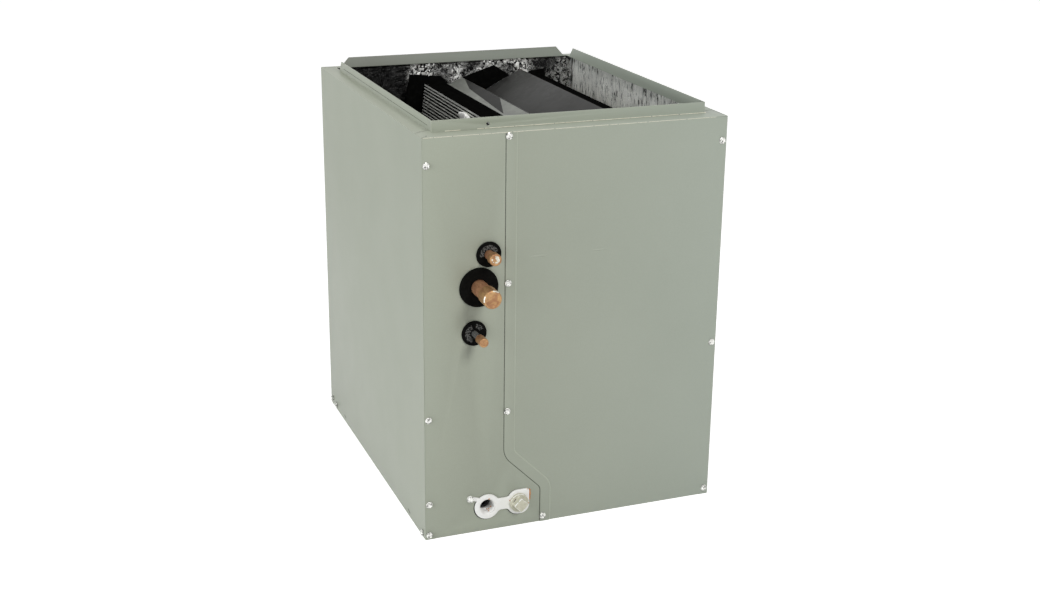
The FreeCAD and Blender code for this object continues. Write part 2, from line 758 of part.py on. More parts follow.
def make_apex_plate():
    """One folded sheet from strip to strip, with a valley over the middle."""
    lean = math.radians(number("lean"))
    reach = number("slab_depth")
    over = number("strip_gauge + 2 * seat_gap")
    foot_x = number("slab_left") + reach * math.cos(lean) + over * math.sin(lean)
    foot_z = number("slab_top") - reach * math.sin(lean) + over * math.cos(lean)
    axis = number("coil_axis")
    gauge = number("sheet_gauge")
    foot = number("apex_foot")
    lift = foot * math.tan(lean)
    far_x = 2 * axis - foot_x
    section = [
        (foot_x - foot, foot_z + lift), (foot_x, foot_z),
        (foot_x + number("apex_edge_width"), foot_z + number("apex_edge_rise")),
        (axis, foot_z - number("apex_valley_drop")),
        (far_x - gauge, foot_z + number("apex_crest_rise")),
        (far_x - gauge, foot_z + gauge), (far_x + foot, foot_z + lift + gauge)]
    start = number("coil_front_y + end_plate_gauge + seat_gap")
    length = number("coil_rear_y - end_plate_gauge - seat_gap") - start
    wire = Part.makePolygon([FreeCAD.Vector(x, start, z) for x, z in section])
    face = wire.makeOffset2D(gauge, 2, True, True, False)
    new_shape("apex_plate", face.extrude(FreeCAD.Vector(0, length, 0)))


def make_delta_plates():
    """The flat plates that close the A between the slabs, front and rear."""
    edge = "slab_left + (slab_depth + end_plate_lap + seat_gap) / cos(lean)"
    level = "pan_floor + seat_gap"
    top = "slab_top - delta_plate_drop"
    top_run = "delta_plate_drop * tan(lean)"
    left_low = "%s - slab_reach" % edge
    left_high = "%s - %s" % (edge, top_run)
    outline = [
        (left_low, level), ("2 * coil_axis - (%s)" % left_low, level),
        ("2 * coil_axis - (%s)" % left_high, top), (left_high, top)]
    for end, low in (("front", "coil_front_y"), ("rear", "coil_rear_y - end_plate_gauge")):
        body = new_body(end + "_delta_plate")
        add_pad(body, "plate", "XZ", low, "%s + end_plate_gauge" % low, [outline])


def faceted_tube(route, diameter, sides=6):
    """A tube of flat faces along straight runs that meet at mitres."""
    points = [FreeCAD.Vector(*point) for point in route]
    rings = []
    first = (points[1] - points[0]).normalize()
    helper = FreeCAD.Vector(0, 0, 1) if abs(first.z) < 0.9 else FreeCAD.Vector(1, 0, 0)
    across = first.cross(helper).normalize()
    up = across.cross(first).normalize()
    ring = []
    for index in range(sides):
        turn = 2 * math.pi * (index + 0.5) / sides
        ring.append(points[0] + across * (math.cos(turn) * diameter / 2)
                    + up * (math.sin(turn) * diameter / 2))
    rings.append(ring)
    for index in range(1, len(points)):
        along = (points[index] - points[index - 1]).normalize()
        normal = along
        if index < len(points) - 1:
            normal = (along + (points[index + 1] - points[index]).normalize()).normalize()
        moved = []
        for corner in rings[-1]:
            travel = (points[index] - corner).dot(normal) / along.dot(normal)
            moved.append(corner + along * travel)
        rings.append(moved)
    faces = [Part.Face(Part.makePolygon(rings[0] + [rings[0][0]]))]
    faces.append(Part.Face(Part.makePolygon(rings[-1] + [rings[-1][0]])))
    for lower, upper in zip(rings, rings[1:]):
        for index in range(sides):
            following = (index + 1) % sides
            corners = [lower[index], lower[following], upper[following], upper[index]]
            faces.append(Part.Face(Part.makePolygon(corners + [corners[0]])))
    solid = Part.Solid(Part.Shell(faces))
    if solid.Volume < 0:
        solid.reverse()
    return solid


def bend(start, finish, face, outward):
    """A U-bend between two tube ends on a plate's face."""
    radius = math.dist(start, finish) / 2
    leg = face + outward * number("bend_leg")
    crown = leg + outward * radius
    along = [(b - a) / (2 * radius) for a, b in zip(start, finish)]
    shoulder = leg + outward * radius * math.tan(math.pi / 12)

    def spot(travel, level):
        return (start[0] + along[0] * travel, level, start[1] + along[1] * travel)

    return faceted_tube([
        spot(0, face), spot(0, shoulder), spot(radius, crown), spot(2 * radius, shoulder),
        spot(2 * radius, face)], number("tube_diameter"), sides=5)


def tube_end(sign, tube_row, level):
    """A tube's place in a slab's own frame."""
    flip = -1 if sign == "-" else 1
    inset = number("row_inset")
    across = inset if tube_row == "outer" else number("slab_depth") - inset
    return flip * across, -(level + 0.5) * number("tube_pitch")


def make_bends(side, sign):
    """The hairpins at the rear and the return bends at the front of a slab."""
    count = round(number("tubes_high"))
    rear = number("coil_rear_y")
    front = number("coil_front_y")
    hairpins = []
    for level in range(count):
        hairpins.append(bend(tube_end(sign, "outer", level), tube_end(sign, "inner", level),
                             rear, 1))
    returns = []
    for level in range(count - 1):
        if level == count // 2 - 1:
            continue
        tube_row = "inner" if level % 2 == 0 else "outer"
        returns.append(bend(tube_end(sign, tube_row, level), tube_end(sign, tube_row, level + 1),
                            front, -1))
    for end, solids in (("rear", hairpins), ("front", returns)):
        piece = new_shape("%s_%s_bends" % (side, end), Part.makeCompound(solids))
        piece.Placement = slab_placement(side)


def open_end(side, level):
    """Where an open tube of the outer row meets the front plate, in the cabinet's frame."""
    sign = "" if side == "left" else "-"
    across, slope = tube_end(sign, "outer", level)
    spot = slab_placement(side).multVec(
        FreeCAD.Vector(across, number("coil_front_y"), slope))
    return spot.x, spot.y, spot.z


def make_header():
    """The suction header and its branches to the middle tubes."""
    body = new_body("suction_header")
    add_pad(body, "pipe", "XY", "header_bottom", "header_top", (),
            [("suction_x", "header_y", "header_diameter")])
    middle = round(number("tubes_high")) // 2
    radius = number("header_diameter / 2 + braze_gap")
    offset = number("branch_offset")
    saddle = Part.makeCylinder(radius, number("header_top - header_bottom"), FreeCAD.Vector(
        number("suction_x"), number("header_y"), number("header_bottom")))
    branches = []
    for side, away in (("left", offset), ("right", -offset)):
        plane = number("header_y") + away
        for level in (middle - 1, middle):
            x, y, z = open_end(side, level)
            start = (number("suction_x"), plane, z)
            turn = number("tube_diameter")
            tube = faceted_tube([start, (x - turn, plane, z), (x, plane + turn, z), (x, y, z)],
                                number("tube_diameter"), sides=8)
            branches.append(tube.cut(saddle))
    new_shape("suction_branches", Part.makeCompound(branches))


def make_distributor():
    """The brass distributor behind the liquid line, and its four feeders."""
    body = new_body("distributor")
    add_revolution(body, "turned", [
        ("0", "0"), ("0", "distributor_diameter / 2"),
        ("distributor_length", "distributor_diameter / 2"), ("distributor_length", "0")])
    set_place(body, "liquid_x", "front + distributor_front", "liquid_height")
    last = round(number("tubes_high")) - 1
    offset = number("feeder_offset")
    back = number("front + distributor_front + distributor_length")
    plane = number("front + feeder_plane")
    crossing = number("slab_top + feeder_crossing_rise")
    x0 = number("liquid_x")
    z0 = number("liquid_height")
    routes = []
    for side, level, across, up in (("left", 0, offset, offset), ("left", last, -offset, -offset),
                                    ("right", last, offset, -offset)):
        x, y, z = open_end(side, level)
        ease = (plane - back) * 2
        rise = ease if z > z0 else -ease
        routes.append([(x0 + across, back, z0 + up), (x0 + across, (back + plane) / 2, z0 + up),
                       (x0 + across, plane, z0 + up + rise / 2),
                       (x, plane, z - rise), (x, (plane + y) / 2, z), (x, y, z)])
    x, y, z = open_end("right", 0)
    ease = plane - back
    routes.append([(x0 - offset, back, z0 + offset), (x0 - offset, (back + plane) / 2, z0 + offset),
                   (x0 - offset, plane, z0 + offset + ease),
                   (x0 - offset, plane, crossing - ease), (x0 + ease, plane, crossing),
                   (x - ease, plane, crossing), (x, plane, z + ease / 2),
                   (x, (plane + y) / 2, z), (x, y, z)])
    tubes = [faceted_tube(route, number("feeder_diameter")) for route in routes]
    new_shape("feeder_tubes", Part.makeCompound(tubes))


def make_boards():
    """The foil-faced insulation boards on the walls and the access panel."""
    top = "lip_bottom - seat_gap"
    boards = {
        "left_insulation": ("left + sheet_gauge", "return_back", "board_left",
                            "rear - sheet_gauge", "sheet_gauge", top),
        "right_insulation": ("board_right", "return_back", "right - sheet_gauge",
                             "rear - sheet_gauge", "sheet_gauge", top),
        "rear_insulation": ("board_left", "board_rear", "board_right", "rear - sheet_gauge",
                            "sheet_gauge", top),
        "front_insulation": ("seam_lower + seam_lap + front_board_lap", "panel_back",
                             "right - front_board_inset", "panel_back + board_thickness",
                             "rail_leg + front_board_foot",
                             "lip_bottom - rail_leg - front_board_drop"),
    }
    for name, (x_low, y_low, x_high, y_high, z_low, z_high) in boards.items():
        body = new_body(name)
        edge = None
        if name in ("left_insulation", "right_insulation"):
            edge = "corner_radius"
        outline = rectangle(x_low, y_low, x_high, y_high)
        if edge:
            near = 3 if name == "left_insulation" else 2
            outline[near] = outline[near] + (edge,)
        add_pad(body, "board", "XY", z_low, z_high, [outline])


def screw(x, y, z, facing):
    """A hex head that sits on a face and points along an axis."""
    radius = number("screw_head") / 2
    corners = []
    for index in range(7):
        angle = math.radians(60 * index)
        corners.append(FreeCAD.Vector(math.cos(angle) * radius, math.sin(angle) * radius, 0))
    head = Part.Face(Part.makePolygon(corners)).extrude(
        FreeCAD.Vector(0, 0, number("screw_head_height")))
    turn = FreeCAD.Rotation(FreeCAD.Vector(0, 0, 1), FreeCAD.Vector(*facing))
    head.Placement = FreeCAD.Placement(FreeCAD.Vector(x, y, z), turn)
    return head


def make_screws():
    """Hex head screws, grouped by the face that they hold."""
    front = number("front")
    raised = number("front - lap_gap - sheet_gauge")
    out = (0, -1, 0)
    columns = (
        ("left + left_screw_inset", front, (
            "casing_height - left_screw_drop", "left_screw_middle", "left_screw_low",
            "left_screw_foot")),
        ("right - right_screw_inset", front, (
            "casing_height - right_screw_drop", "right_screw_middle", "right_screw_foot")),
        ("seam_upper + seam_screw_inset", raised, (
            "casing_height - seam_screw_drop", "seam_screw_upper", "seam_screw_lower")),
        ("seam_lower + seam_screw_inset", raised, ("seam_screw_foot",)),
    )
    heads = []
    for x, face, heights in columns:
        heads += [screw(number(x), face, number(z), out) for z in heights]
    new_shape("panel_screws", Part.makeCompound(heads))
    side_places = (("front + side_screw_front", "side_screw_front_height"),
                   ("rear - side_screw_inner", "side_screw_inner_height"),
                   ("rear - side_screw_rear", "side_screw_rear_height"))
    sides = []
    for x, way in ((number("left"), -1), (number("right"), 1)):
        for y, z in side_places:
            sides.append(screw(x, number(y), number(z), (way, 0, 0)))
    new_shape("side_screws", Part.makeCompound(sides))
    plate = screw(number("primary_x - tab_offset"), number("front - tab_thickness"),
                  number("drain_height + tab_rise"), out)
    new_shape("drain_plate_screw", plate)


def make_clip():
    """The small white clip on the left slab's outer face."""
    body = new_body("fin_clip")
    start = "front + clip_from_front"
    add_pad(body, "block", "YZ", "-clip_depth - seat_gap", "-seat_gap", [rectangle(
        start, "-clip_below_top - clip_height", "%s + clip_width" % start, "-clip_below_top")])
    x, turn = slab_place("left")
    set_place(body, x, "0", "slab_top", turn)


make_casing()
make_front_rails()
make_line_panel()
make_access_panel()
make_lines()
make_pan()
make_port_plate()
make_plug()
make_pan_rails()
for slab_side, slab_sign in (("left", ""), ("right", "-")):
    make_fin_pack(slab_side, slab_sign)
    make_end_plates(slab_side, slab_sign)
    make_top_strip(slab_side, slab_sign)
    make_bends(slab_side, slab_sign)
make_apex_plate()
make_delta_plates()
make_header()
make_distributor()
make_boards()
make_screws()
make_clip()
doc.recompute()


def check(thing):
    """Stop on an object that failed to build or a cut that removed nothing."""
    for word in ("Invalid", "Error"):
        if word in thing.State:
            raise RuntimeError("%s: %s" % (thing.Label, thing.State))
    if thing.TypeId == "PartDesign::Pocket":
        if thing.Shape.Volume >= thing.BaseFeature.Shape.Volume - 1e-6:
            raise RuntimeError(thing.Label + " cuts nothing")


os.makedirs("parts", exist_ok=True)
for thing in doc.Objects:
    check(thing)
for thing in doc.Objects:
    if thing.TypeId not in ("PartDesign::Body", "Part::Feature"):
        continue
    if thing.Shape.isNull() or not thing.Shape.isValid():
        raise RuntimeError(thing.Label + " has no valid shape")
    thing.Shape.exportStep("parts/%s.step" % thing.Label)
    print(thing.Label, len(thing.Shape.Solids), round(thing.Shape.Volume))
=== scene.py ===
import json
import math
import random

import bmesh
import bpy
from mathutils import Matrix, Vector, noise


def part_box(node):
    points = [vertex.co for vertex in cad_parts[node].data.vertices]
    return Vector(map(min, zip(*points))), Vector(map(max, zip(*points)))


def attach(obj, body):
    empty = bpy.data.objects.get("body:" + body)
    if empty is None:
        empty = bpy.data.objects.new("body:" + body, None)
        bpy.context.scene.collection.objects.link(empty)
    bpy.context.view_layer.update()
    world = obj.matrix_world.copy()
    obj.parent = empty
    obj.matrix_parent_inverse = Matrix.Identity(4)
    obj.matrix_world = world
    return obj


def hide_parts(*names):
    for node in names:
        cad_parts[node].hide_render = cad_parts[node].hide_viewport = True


# A cased evaporator coil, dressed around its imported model. Metres, +Z up, the
# panels face -Y. Names that end in _MM or _mm, profiles, sections, spots and
# ledge lines hold millimetres. Angles are in degrees, turns and the lean in radians.

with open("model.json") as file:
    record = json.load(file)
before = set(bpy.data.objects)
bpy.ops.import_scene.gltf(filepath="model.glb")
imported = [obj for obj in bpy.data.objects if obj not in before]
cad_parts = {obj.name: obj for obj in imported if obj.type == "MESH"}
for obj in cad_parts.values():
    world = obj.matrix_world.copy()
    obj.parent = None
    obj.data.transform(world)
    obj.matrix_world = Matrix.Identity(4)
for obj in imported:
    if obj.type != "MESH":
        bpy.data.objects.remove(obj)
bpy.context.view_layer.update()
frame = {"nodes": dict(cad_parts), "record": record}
nodes = frame["nodes"]

MM = 0.001
RIGHT = Vector((1, 0, 0))
BACK = Vector((0, 1, 0))
UP = Vector((0, 0, 1))
JOIN_DISTANCE = 1e-6
CUT_EDGE_MM = 3
MITRE_LIMIT = 0.4
CAMERA_PLACE = (-0.78443, -2.07943, 1.00777)
CAMERA_AZIMUTH = -21.157
CAMERA_ELEVATION = 18.732
CAMERA_ROLL = 0.64
FOCAL_PIXELS = 1500.8
PICTURE_WIDTH = 1040
SENSOR_WIDTH = 36
FLOOR_GLOW = 0.72
WORLD_LIGHT = 0.28

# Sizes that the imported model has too
GAUGE_MM = 0.9
LEDGE_MM = 578
SEAM_STEP_MM = 56
SEAM_BEND_HEIGHT_MM = 111.5
SEAM_UPPER_RADIUS_MM = 30
SEAM_LOWER_RADIUS_MM = 12
RAMP_START_MM = 14.3
RAMP_END_MM = 16.3
PORT_SPACING_MM = 47.1
PORT_BORE_MM = 11.7
PORT_BOSS_MM = 15
LEAN = math.radians(6)
SLAB_DEPTH_MM = 44
TUBE_PITCH_MM = 25.4
TUBES = 20
RIPPLES_PER_PITCH = 5

# Detail that only this script has. A screw ring is its height, its radius and
# whether it is hexagonal. A foil shade band is millimetres along X and a level of painted shade.
SCREW_RINGS_MM = ((0, 4.8, False), (0.7, 4.8, False), (0.9, 4.5, False), (1.0, 3.5, True),
                  (2.7, 3.5, True), (3.1, 3.2, True), (3.2, 2.6, False), (2.9, 2.3, False),
                  (2.75, 0.6, False))
# The painted shadow beside the seam: offsets across the seam and heights off the panel, in
# millimetres.
SEAM_SHADOW_MM = ((-0.95, 0.02), (-0.85, -0.06), (-0.2, -0.07), (0.15, 0.02))
THREAD_PITCH_MM = 1.81
THREAD_TURNS = 10
FIN_COLUMN_MM = 1.7
RIPPLE_DEPTH_MM = 2.3
FOIL_STEP_MM = 3.0
# Painted shade and light in bands across the rear foil board.
FOIL_SHADE_BANDS = ((-110, 0.03), (-85, 0.03), (-62, 1.0), (0, 1.0), (35, 0.35), (58, 1.0), (118, 1.0),
              (142, 0.12), (175, 0.2), (200, 0.5))


# Small helpers

def middle(node):
    low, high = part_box(node)
    return (low + high) / 2


def ease(share):
    return share * share * (3 - 2 * share)


def shares(count):
    """Even steps from 0 to 1."""
    return [index / count for index in range(count + 1)]


def polar(point, centre):
    """Distance in millimetres and angle about an axis along Y."""
    right = point.x - centre.x
    rise = point.z - centre.z
    return math.hypot(right, rise) / MM, math.degrees(math.atan2(rise, right)) % 360


def link(name, data):
    thing = bpy.data.objects.new(name, data)
    bpy.context.scene.collection.objects.link(thing)
    return thing


def to_piece(name, work):
    mesh = bpy.data.meshes.new(name)
    work.to_mesh(mesh)
    work.free()
    return link(name, mesh)


def mesh_from(name, build):
    """A new object whose mesh a function fills in."""
    work = bmesh.new()
    build(work)
    bmesh.ops.remove_doubles(work, verts=work.verts, dist=JOIN_DISTANCE)
    bmesh.ops.recalc_face_normals(work, faces=work.faces)
    return to_piece(name, work)


def smooth(piece, angle):
    """Smooth shading that stays crisp at edges sharper than an angle."""
    piece.data.shade_smooth()
    piece.data.set_sharp_from_angle(angle=math.radians(angle))
    return piece


def finish_piece(piece, finishes, node, slot=None):
    """Give a piece its materials, attach it to the root and hide the CAD node that it replaces; the
    slot is not used.
    """
    for finish in finishes:
        piece.data.materials.append(materials[finish])
    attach(piece, "root")
    slot = slot or finishes[0]
    if node:
        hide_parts(node)
    return piece


def add_piece(name, build, finishes, node=None, angle=None, slot=None):
    """A finished piece, shaded smooth where an angle is given."""
    piece = mesh_from(name, build)
    if angle:
        smooth(piece, angle)
    return finish_piece(piece, finishes, node, slot)


def apply_modifier(piece, kind, **settings):
    modifier = piece.modifiers.new(kind, kind)
    for key, value in settings.items():
        setattr(modifier, key, value)
    graph = bpy.context.evaluated_depsgraph_get()
    result = bpy.data.meshes.new_from_object(piece.evaluated_get(graph))
    piece.modifiers.clear()
    piece.data = result


def welded_copy(node):
    """A CAD node's shape with its points joined."""
    work = bmesh.new()
    work.from_mesh(nodes[node].data)
    bmesh.ops.remove_doubles(work, verts=work.verts, dist=JOIN_DISTANCE)
    return work


def clean_copy(node):
    """A CAD node's shape with its flat triangles joined into whole faces."""
    work = welded_copy(node)
    bmesh.ops.dissolve_limit(work, angle_limit=math.radians(0.5), verts=work.verts,
                             edges=work.edges)
    return work


def narrowest(face):
    return face.calc_area() / max(edge.calc_length() for edge in face.edges)


def softened(name, node, cut_mm=0.15, fold_mm=0.5, segments=2, extra=()):
    """A copy of a CAD node with rounded folds and slightly rounded cut edges."""
    work = clean_copy(node)
    weight = work.edges.layers.float.new("bevel_weight_edge")
    for edge in work.edges:
        if len(edge.link_faces) == 2 and edge.calc_face_angle() >= math.radians(30):
            narrow = min(narrowest(face) for face in edge.link_faces) <= CUT_EDGE_MM * MM
            folded = edge.is_convex and not narrow
            edge[weight] = 1 if folded else cut_mm / fold_mm
    piece = to_piece(name, work)
    apply_modifier(piece, "BEVEL", width=fold_mm * MM, segments=segments, limit_method="WEIGHT")
    return finish_piece(smooth(piece, 35), (slot_of[node], *extra), node)


def loft(work, rings, closed=True, caps=False):
    """Faces between rings of points that follow each other; a single point is a tip."""
    rings = [[work.verts.new(point) for point in ring] for ring in rings]
    faces = []
    for first, second in zip(rings, rings[1:]):
        count = max(len(first), len(second))
        for step in range(count if closed else count - 1):
            following = (step + 1) % count
            corners = (first[step % len(first)], first[following % len(first)],
                       second[following % len(second)], second[step % len(second)])
            faces.append(work.faces.new(tuple(dict.fromkeys(corners))))
    if caps:
        work.faces.new(rings[0])
        work.faces.new(rings[-1])
    return rings, faces


def at_level(loop, y):
    return [Vector((point.x, y, point.y)) for point in loop]


def arc(x, y, radius, start, end, count):
    """Points on an arc about a centre."""
    turns = [math.radians(start + (end - start) * index / count) for index in range(count + 1)]
    return [Vector((x + radius * math.cos(turn), y + radius * math.sin(turn))) for turn in turns]


def circle(radius, steps=64):
    """Points round a circle, or its centre alone where the radius is zero."""
    return arc(0, 0, radius, 0, 360, steps)[:-1] if radius else [Vector((0, 0))]


def rounded(points, radii, count=10):
    """A line through points whose corners are arcs."""
    line = []
    for index, (here, radius) in enumerate(zip(points, radii)):
        if not radius:
            line.append(here)
            continue
        into = (points[index - 1] - here).normalized()
        away = (points[(index + 1) % len(points)] - here).normalized()
        half = into.angle(away) / 2
        centre = here + (into + away).normalized() * (radius / math.sin(half))
        spoke = here + into * (radius / math.tan(half)) - centre
        way = 1 if into.cross(away) < 0 else -1
        for step in range(count + 1):
            turn = way * (math.pi - 2 * half) * step / count
            line.append(centre + Matrix.Rotation(turn, 2) @ spoke)
    return line


def placed(centre, loop):
    """A loop in millimetres about a centre in metres."""
    return [centre + Vector(point) * MM for point in loop]


def lathe(work, profile, centre, steps):
    """Turn a profile of (along -Y, radius) about an axis through a centre."""
    axis = Vector((centre.x, centre.z))
    loft(work, [at_level(placed(axis, circle(radius, steps)), centre.y - out * MM)
                for out, radius in profile])


def offset_loop(loop, distance):
    """A closed anticlockwise outline, moved inwards."""
    moved = []
    for before, here, after in zip(loop[-1:] + loop[:-1], loop, loop[1:] + loop[:1]):
        way_in = (here - before).normalized()
        way_out = (after - here).normalized()
        side = Vector((-way_in.y - way_out.y, way_in.x + way_out.x)).normalized()
        reach = max(MITRE_LIMIT, side.dot(Vector((-way_in.y, way_in.x))))
        moved.append(here + side * (distance / reach))
    return moved


def moulded_slab(work, outline, holes, face, back, radius_mm, hole_radius_mm=0.0):
    """A plate that faces -Y, with a rounded front edge and through holes."""
    edges = []
    for loop in (outline, *holes):
        curve = (radius_mm if loop is outline else -hole_radius_mm) * MM
        rings = [at_level(loop, back)]
        for index in range(5):
            turn = math.pi / 2 * index / 4
            rings.append(at_level(offset_loop(loop, curve * (1 - math.cos(turn))),
                                  face + abs(curve) * (1 - math.sin(turn))))
        rings = loft(work, rings)[0]
        for ring in (rings[0], rings[-1]):
            edges.append([work.edges.get(pair) for pair in zip(ring, ring[1:] + ring[:1])])
    for group in (edges[0::2], edges[1::2]):
        bmesh.ops.triangle_fill(work, use_beauty=True, edges=sum(group, []))


def islands(node):
    """The lowest and highest corners of each separate solid of a CAD node."""
    work = welded_copy(node)
    seen = set()
    found = []
    for start in work.verts:
        if start in seen:
            continue
        seen.add(start)
        group = [start]
        for vert in group:
            others = {edge.other_vert(vert) for edge in vert.link_edges} - seen
            seen |= others
            group.extend(others)
        found.append([Vector(pick(vert.co[axis] for vert in group) for axis in range(3))
                      for pick in (min, max)])
    work.free()
    return found


def flat_line(work, points, facing, width_mm):
    """A thin line laid on a surface through points, facing a given way."""
    rows = []
    for index, here in enumerate(points):
        before = points[max(index - 1, 0)]
        after = points[min(index + 1, len(points) - 1)]
        side = (after - before).normalized().cross(facing) * width_mm / 2
        rows.append([here + (side * share + facing * level) * MM for share, level in
                     ((-1, -0.02), (-0.7, 0.06), (0.7, 0.06), (1, -0.02))])
    loft(work, rows, caps=True)


def thin_bar(work, start, end, ways, size_mm):
    """A thin bar whose section is a square on its corner."""
    spokes = [way * size_mm * MM for way in (-ways[0], -ways[1], *ways)]
    loft(work, [[point + spoke for spoke in spokes] for point in (start, end)], caps=True)


def blob(work, centre, radii_mm, seed):
    """A small lump with an uneven surface."""
    made = bmesh.ops.create_icosphere(work, subdivisions=2, radius=1)
    for vert in made["verts"]:
        swell = 1 + 0.35 * noise.noise(vert.co * 1.7 + Vector((seed, seed * 2, 0)))
        vert.co = centre + Vector(a * b for a, b in zip(vert.co * swell, radii_mm)) * MM


# Materials

materials = {}


def new_material(name, color, roughness, metallic=0.0, gloss=0.5):
    material = bpy.data.materials.new(name)
    material.use_nodes = True
    set_shader(material, {"Base Color": (*color, 1), "Roughness": roughness, "Metallic": metallic,
                          "Specular IOR Level": gloss})
    materials[name] = material
    return material


def set_inputs(owner, node, inputs):
    """Set or wire a node's inputs."""
    for socket, value in inputs.items():
        if isinstance(value, bpy.types.NodeSocket):
            owner.node_tree.links.new(value, node.inputs[socket])
        else:
            node.inputs[socket].default_value = value


def set_shader(material, inputs):
    set_inputs(material, material.node_tree.nodes["Principled BSDF"], inputs)


def add_node(owner, kind, inputs, output=0, **settings):
    """One output of a new shader node."""
    node = owner.node_tree.nodes.new("ShaderNode" + kind)
    for key, value in settings.items():
        setattr(node, key, value)
    set_inputs(owner, node, inputs)
    return node.outputs[output]


def place_texture(material, stretch=(1, 1, 1)):
    """The frame's own coordinates, stretched along an axis where a grain runs."""
    place = add_node(material, "TexCoord", {}, "Object")
    return add_node(material, "Mapping", {"Scale": stretch, "Vector": place})


def noise_field(material, scale, detail=4, roughness=0.55, stretch=(1, 1, 1), warp=0.0):
    return add_node(material, "TexNoise", {
        "Scale": scale, "Detail": detail, "Roughness": roughness, "Distortion": warp,
        "Vector": place_texture(material, stretch)})


def cells(material, scale):
    """A level that is constant over each cell of a random pattern."""
    place = place_texture(material)
    color = add_node(material, "TexVoronoi", {"Scale": scale, "Vector": place}, "Color")
    return add_node(material, "SeparateColor", {"Color": color})


def across(material, start_mm, end_mm):
    """A field from 0 to 1 along X."""
    place = add_node(material, "TexCoord", {}, "Object")
    x = add_node(material, "SeparateXYZ", {"Vector": place})
    return add_node(material, "MapRange",
                    {"Value": x, "From Min": start_mm * MM, "From Max": end_mm * MM})


def ramp(material, field, stops):
    """Colours at levels of a field, blended between them."""
    color = add_node(material, "ValToRGB", {"Fac": field})
    elements = color.node.color_ramp.elements
    while len(elements) < len(stops):
        elements.new(0.5)
    for element, (place, tone) in zip(elements, stops):
        element.position = place
        element.color = (*tone, 1)
    return color


def banded(material, shade_bands):
    """Grey levels at places along X, blended between them."""
    start = shade_bands[0][0]
    end = shade_bands[-1][0]
    return ramp(material, across(material, start, end),
                [((place - start) / (end - start), (level,) * 3) for place, level in shade_bands])


def tinted(material, share, base, tint):
    """A colour multiplied by another."""
    return add_node(material, "Mix", {0: share, 6: base, 7: tint}, 2, data_type="RGBA",
                    blend_type="MULTIPLY")


def speckle(material, share, base, field, low, high, dark, pale=(1, 1, 1)):
    """A colour darkened by a field."""
    return tinted(material, share, base, ramp(material, field, ((low, dark), (high, pale))))


def set_color(material, color):
    set_shader(material, {"Base Color": color})


def set_roughness(material, field, low, high):
    level = add_node(material, "MapRange", {"Value": field, "To Min": low, "To Max": high})
    set_shader(material, {"Roughness": level})


def set_bump(material, field, strength, distance_mm, below=None):
    inputs = {"Strength": strength, "Distance": distance_mm * MM, "Height": field}
    if below is not None:
        inputs["Normal"] = below
    normal = add_node(material, "Bump", inputs)
    set_shader(material, {"Normal": normal})
    return normal


def two_tone(name, dark, pale, span, grain, roughness, metallic=0.0, gloss=0.5, relief=None,
             relief_grain=None, roughness_span=None):
    """Two tones that a noise mixes, raised by the same noise or by a finer one."""
    material = new_material(name, pale, roughness, metallic, gloss)
    field = noise_field(material, *grain)
    set_color(material, ramp(material, field, ((span[0], dark), (span[1], pale))))
    if roughness_span:
        set_roughness(material, field, *roughness_span)
    if relief:
        raised = noise_field(material, *relief_grain) if relief_grain else field
        set_bump(material, raised, *relief)


def make_paint(name, left_light=1.0, right_light=1.0):
    """Satin grey-green enamel, olive on the left and cooler on the right; the right is also lighter,
    a painted gradient of light, and the two levels make painted shade below 1 and painted highlight
    above.
    """
    material = new_material(name, (0.352, 0.371, 0.309), 0.45)
    darker_left = tuple(channel * left_light for channel in (0.330, 0.352, 0.283))
    lighter_right = tuple(channel * right_light for channel in (0.352, 0.386, 0.328))
    color = ramp(material, across(material, -150, 220), ((0.0, darker_left), (1.0, lighter_right)))
    color = speckle(material, 1.0, color, noise_field(material, 6), 0.3, 0.7, (0.95, 0.955, 0.95))
    color = speckle(material, 0.5, color, noise_field(material, 620, 3), 0.35, 0.7,
                    (0.93, 0.935, 0.92))
    set_color(material, color)
    set_roughness(material, noise_field(material, 14, 5), 0.38, 0.52)
    peel = set_bump(material, noise_field(material, 900, 3), 0.12, 0.1)
    set_bump(material, noise_field(material, 8, 2), 0.3, 0.6, peel)


def make_copper(name, dark, bright, roughness):
    """Drawn copper: pale and brown patches, and streaks along the tube."""
    material = new_material(name, bright, roughness, 0.55)
    patches = noise_field(material, 120, 6, 0.65, (1, 0.5, 1), 0.8)
    streaks = noise_field(material, 600, 4, 0.6, (1, 0.05, 1))
    color = ramp(material, patches, ((0.40, dark), (0.60, bright)))
    color = speckle(material, 0.6, color, streaks, 0.3, 0.7, (0.74, 0.72, 0.70))
    color = speckle(material, 0.25, color, noise_field(material, 900, 3, 0.8), 0.62, 0.68,
                    (1, 1, 1), (0.3, 0.2, 0.15))
    set_color(material, color)
    set_roughness(material, patches, roughness + 0.12, roughness - 0.08)
    set_bump(material, streaks, 0.2, 0.12)


def make_galvanised(name, dark, light, metallic, gloss=0.5):
    """Zinc-coated sheet with a dull spangle."""
    material = new_material(name, light, 0.45, metallic, gloss)
    tone = cells(material, 130)
    color = ramp(material, tone, ((0.0, dark), (1.0, light)))
    color = speckle(material, 1.0, color, noise_field(material, 22, 5), 0.35, 0.65, (0.8, 0.8, 0.8))
    set_color(material, color)
    set_roughness(material, tone, 0.40, 0.52)
    set_bump(material, noise_field(material, 500, 3), 0.1, 0.1)


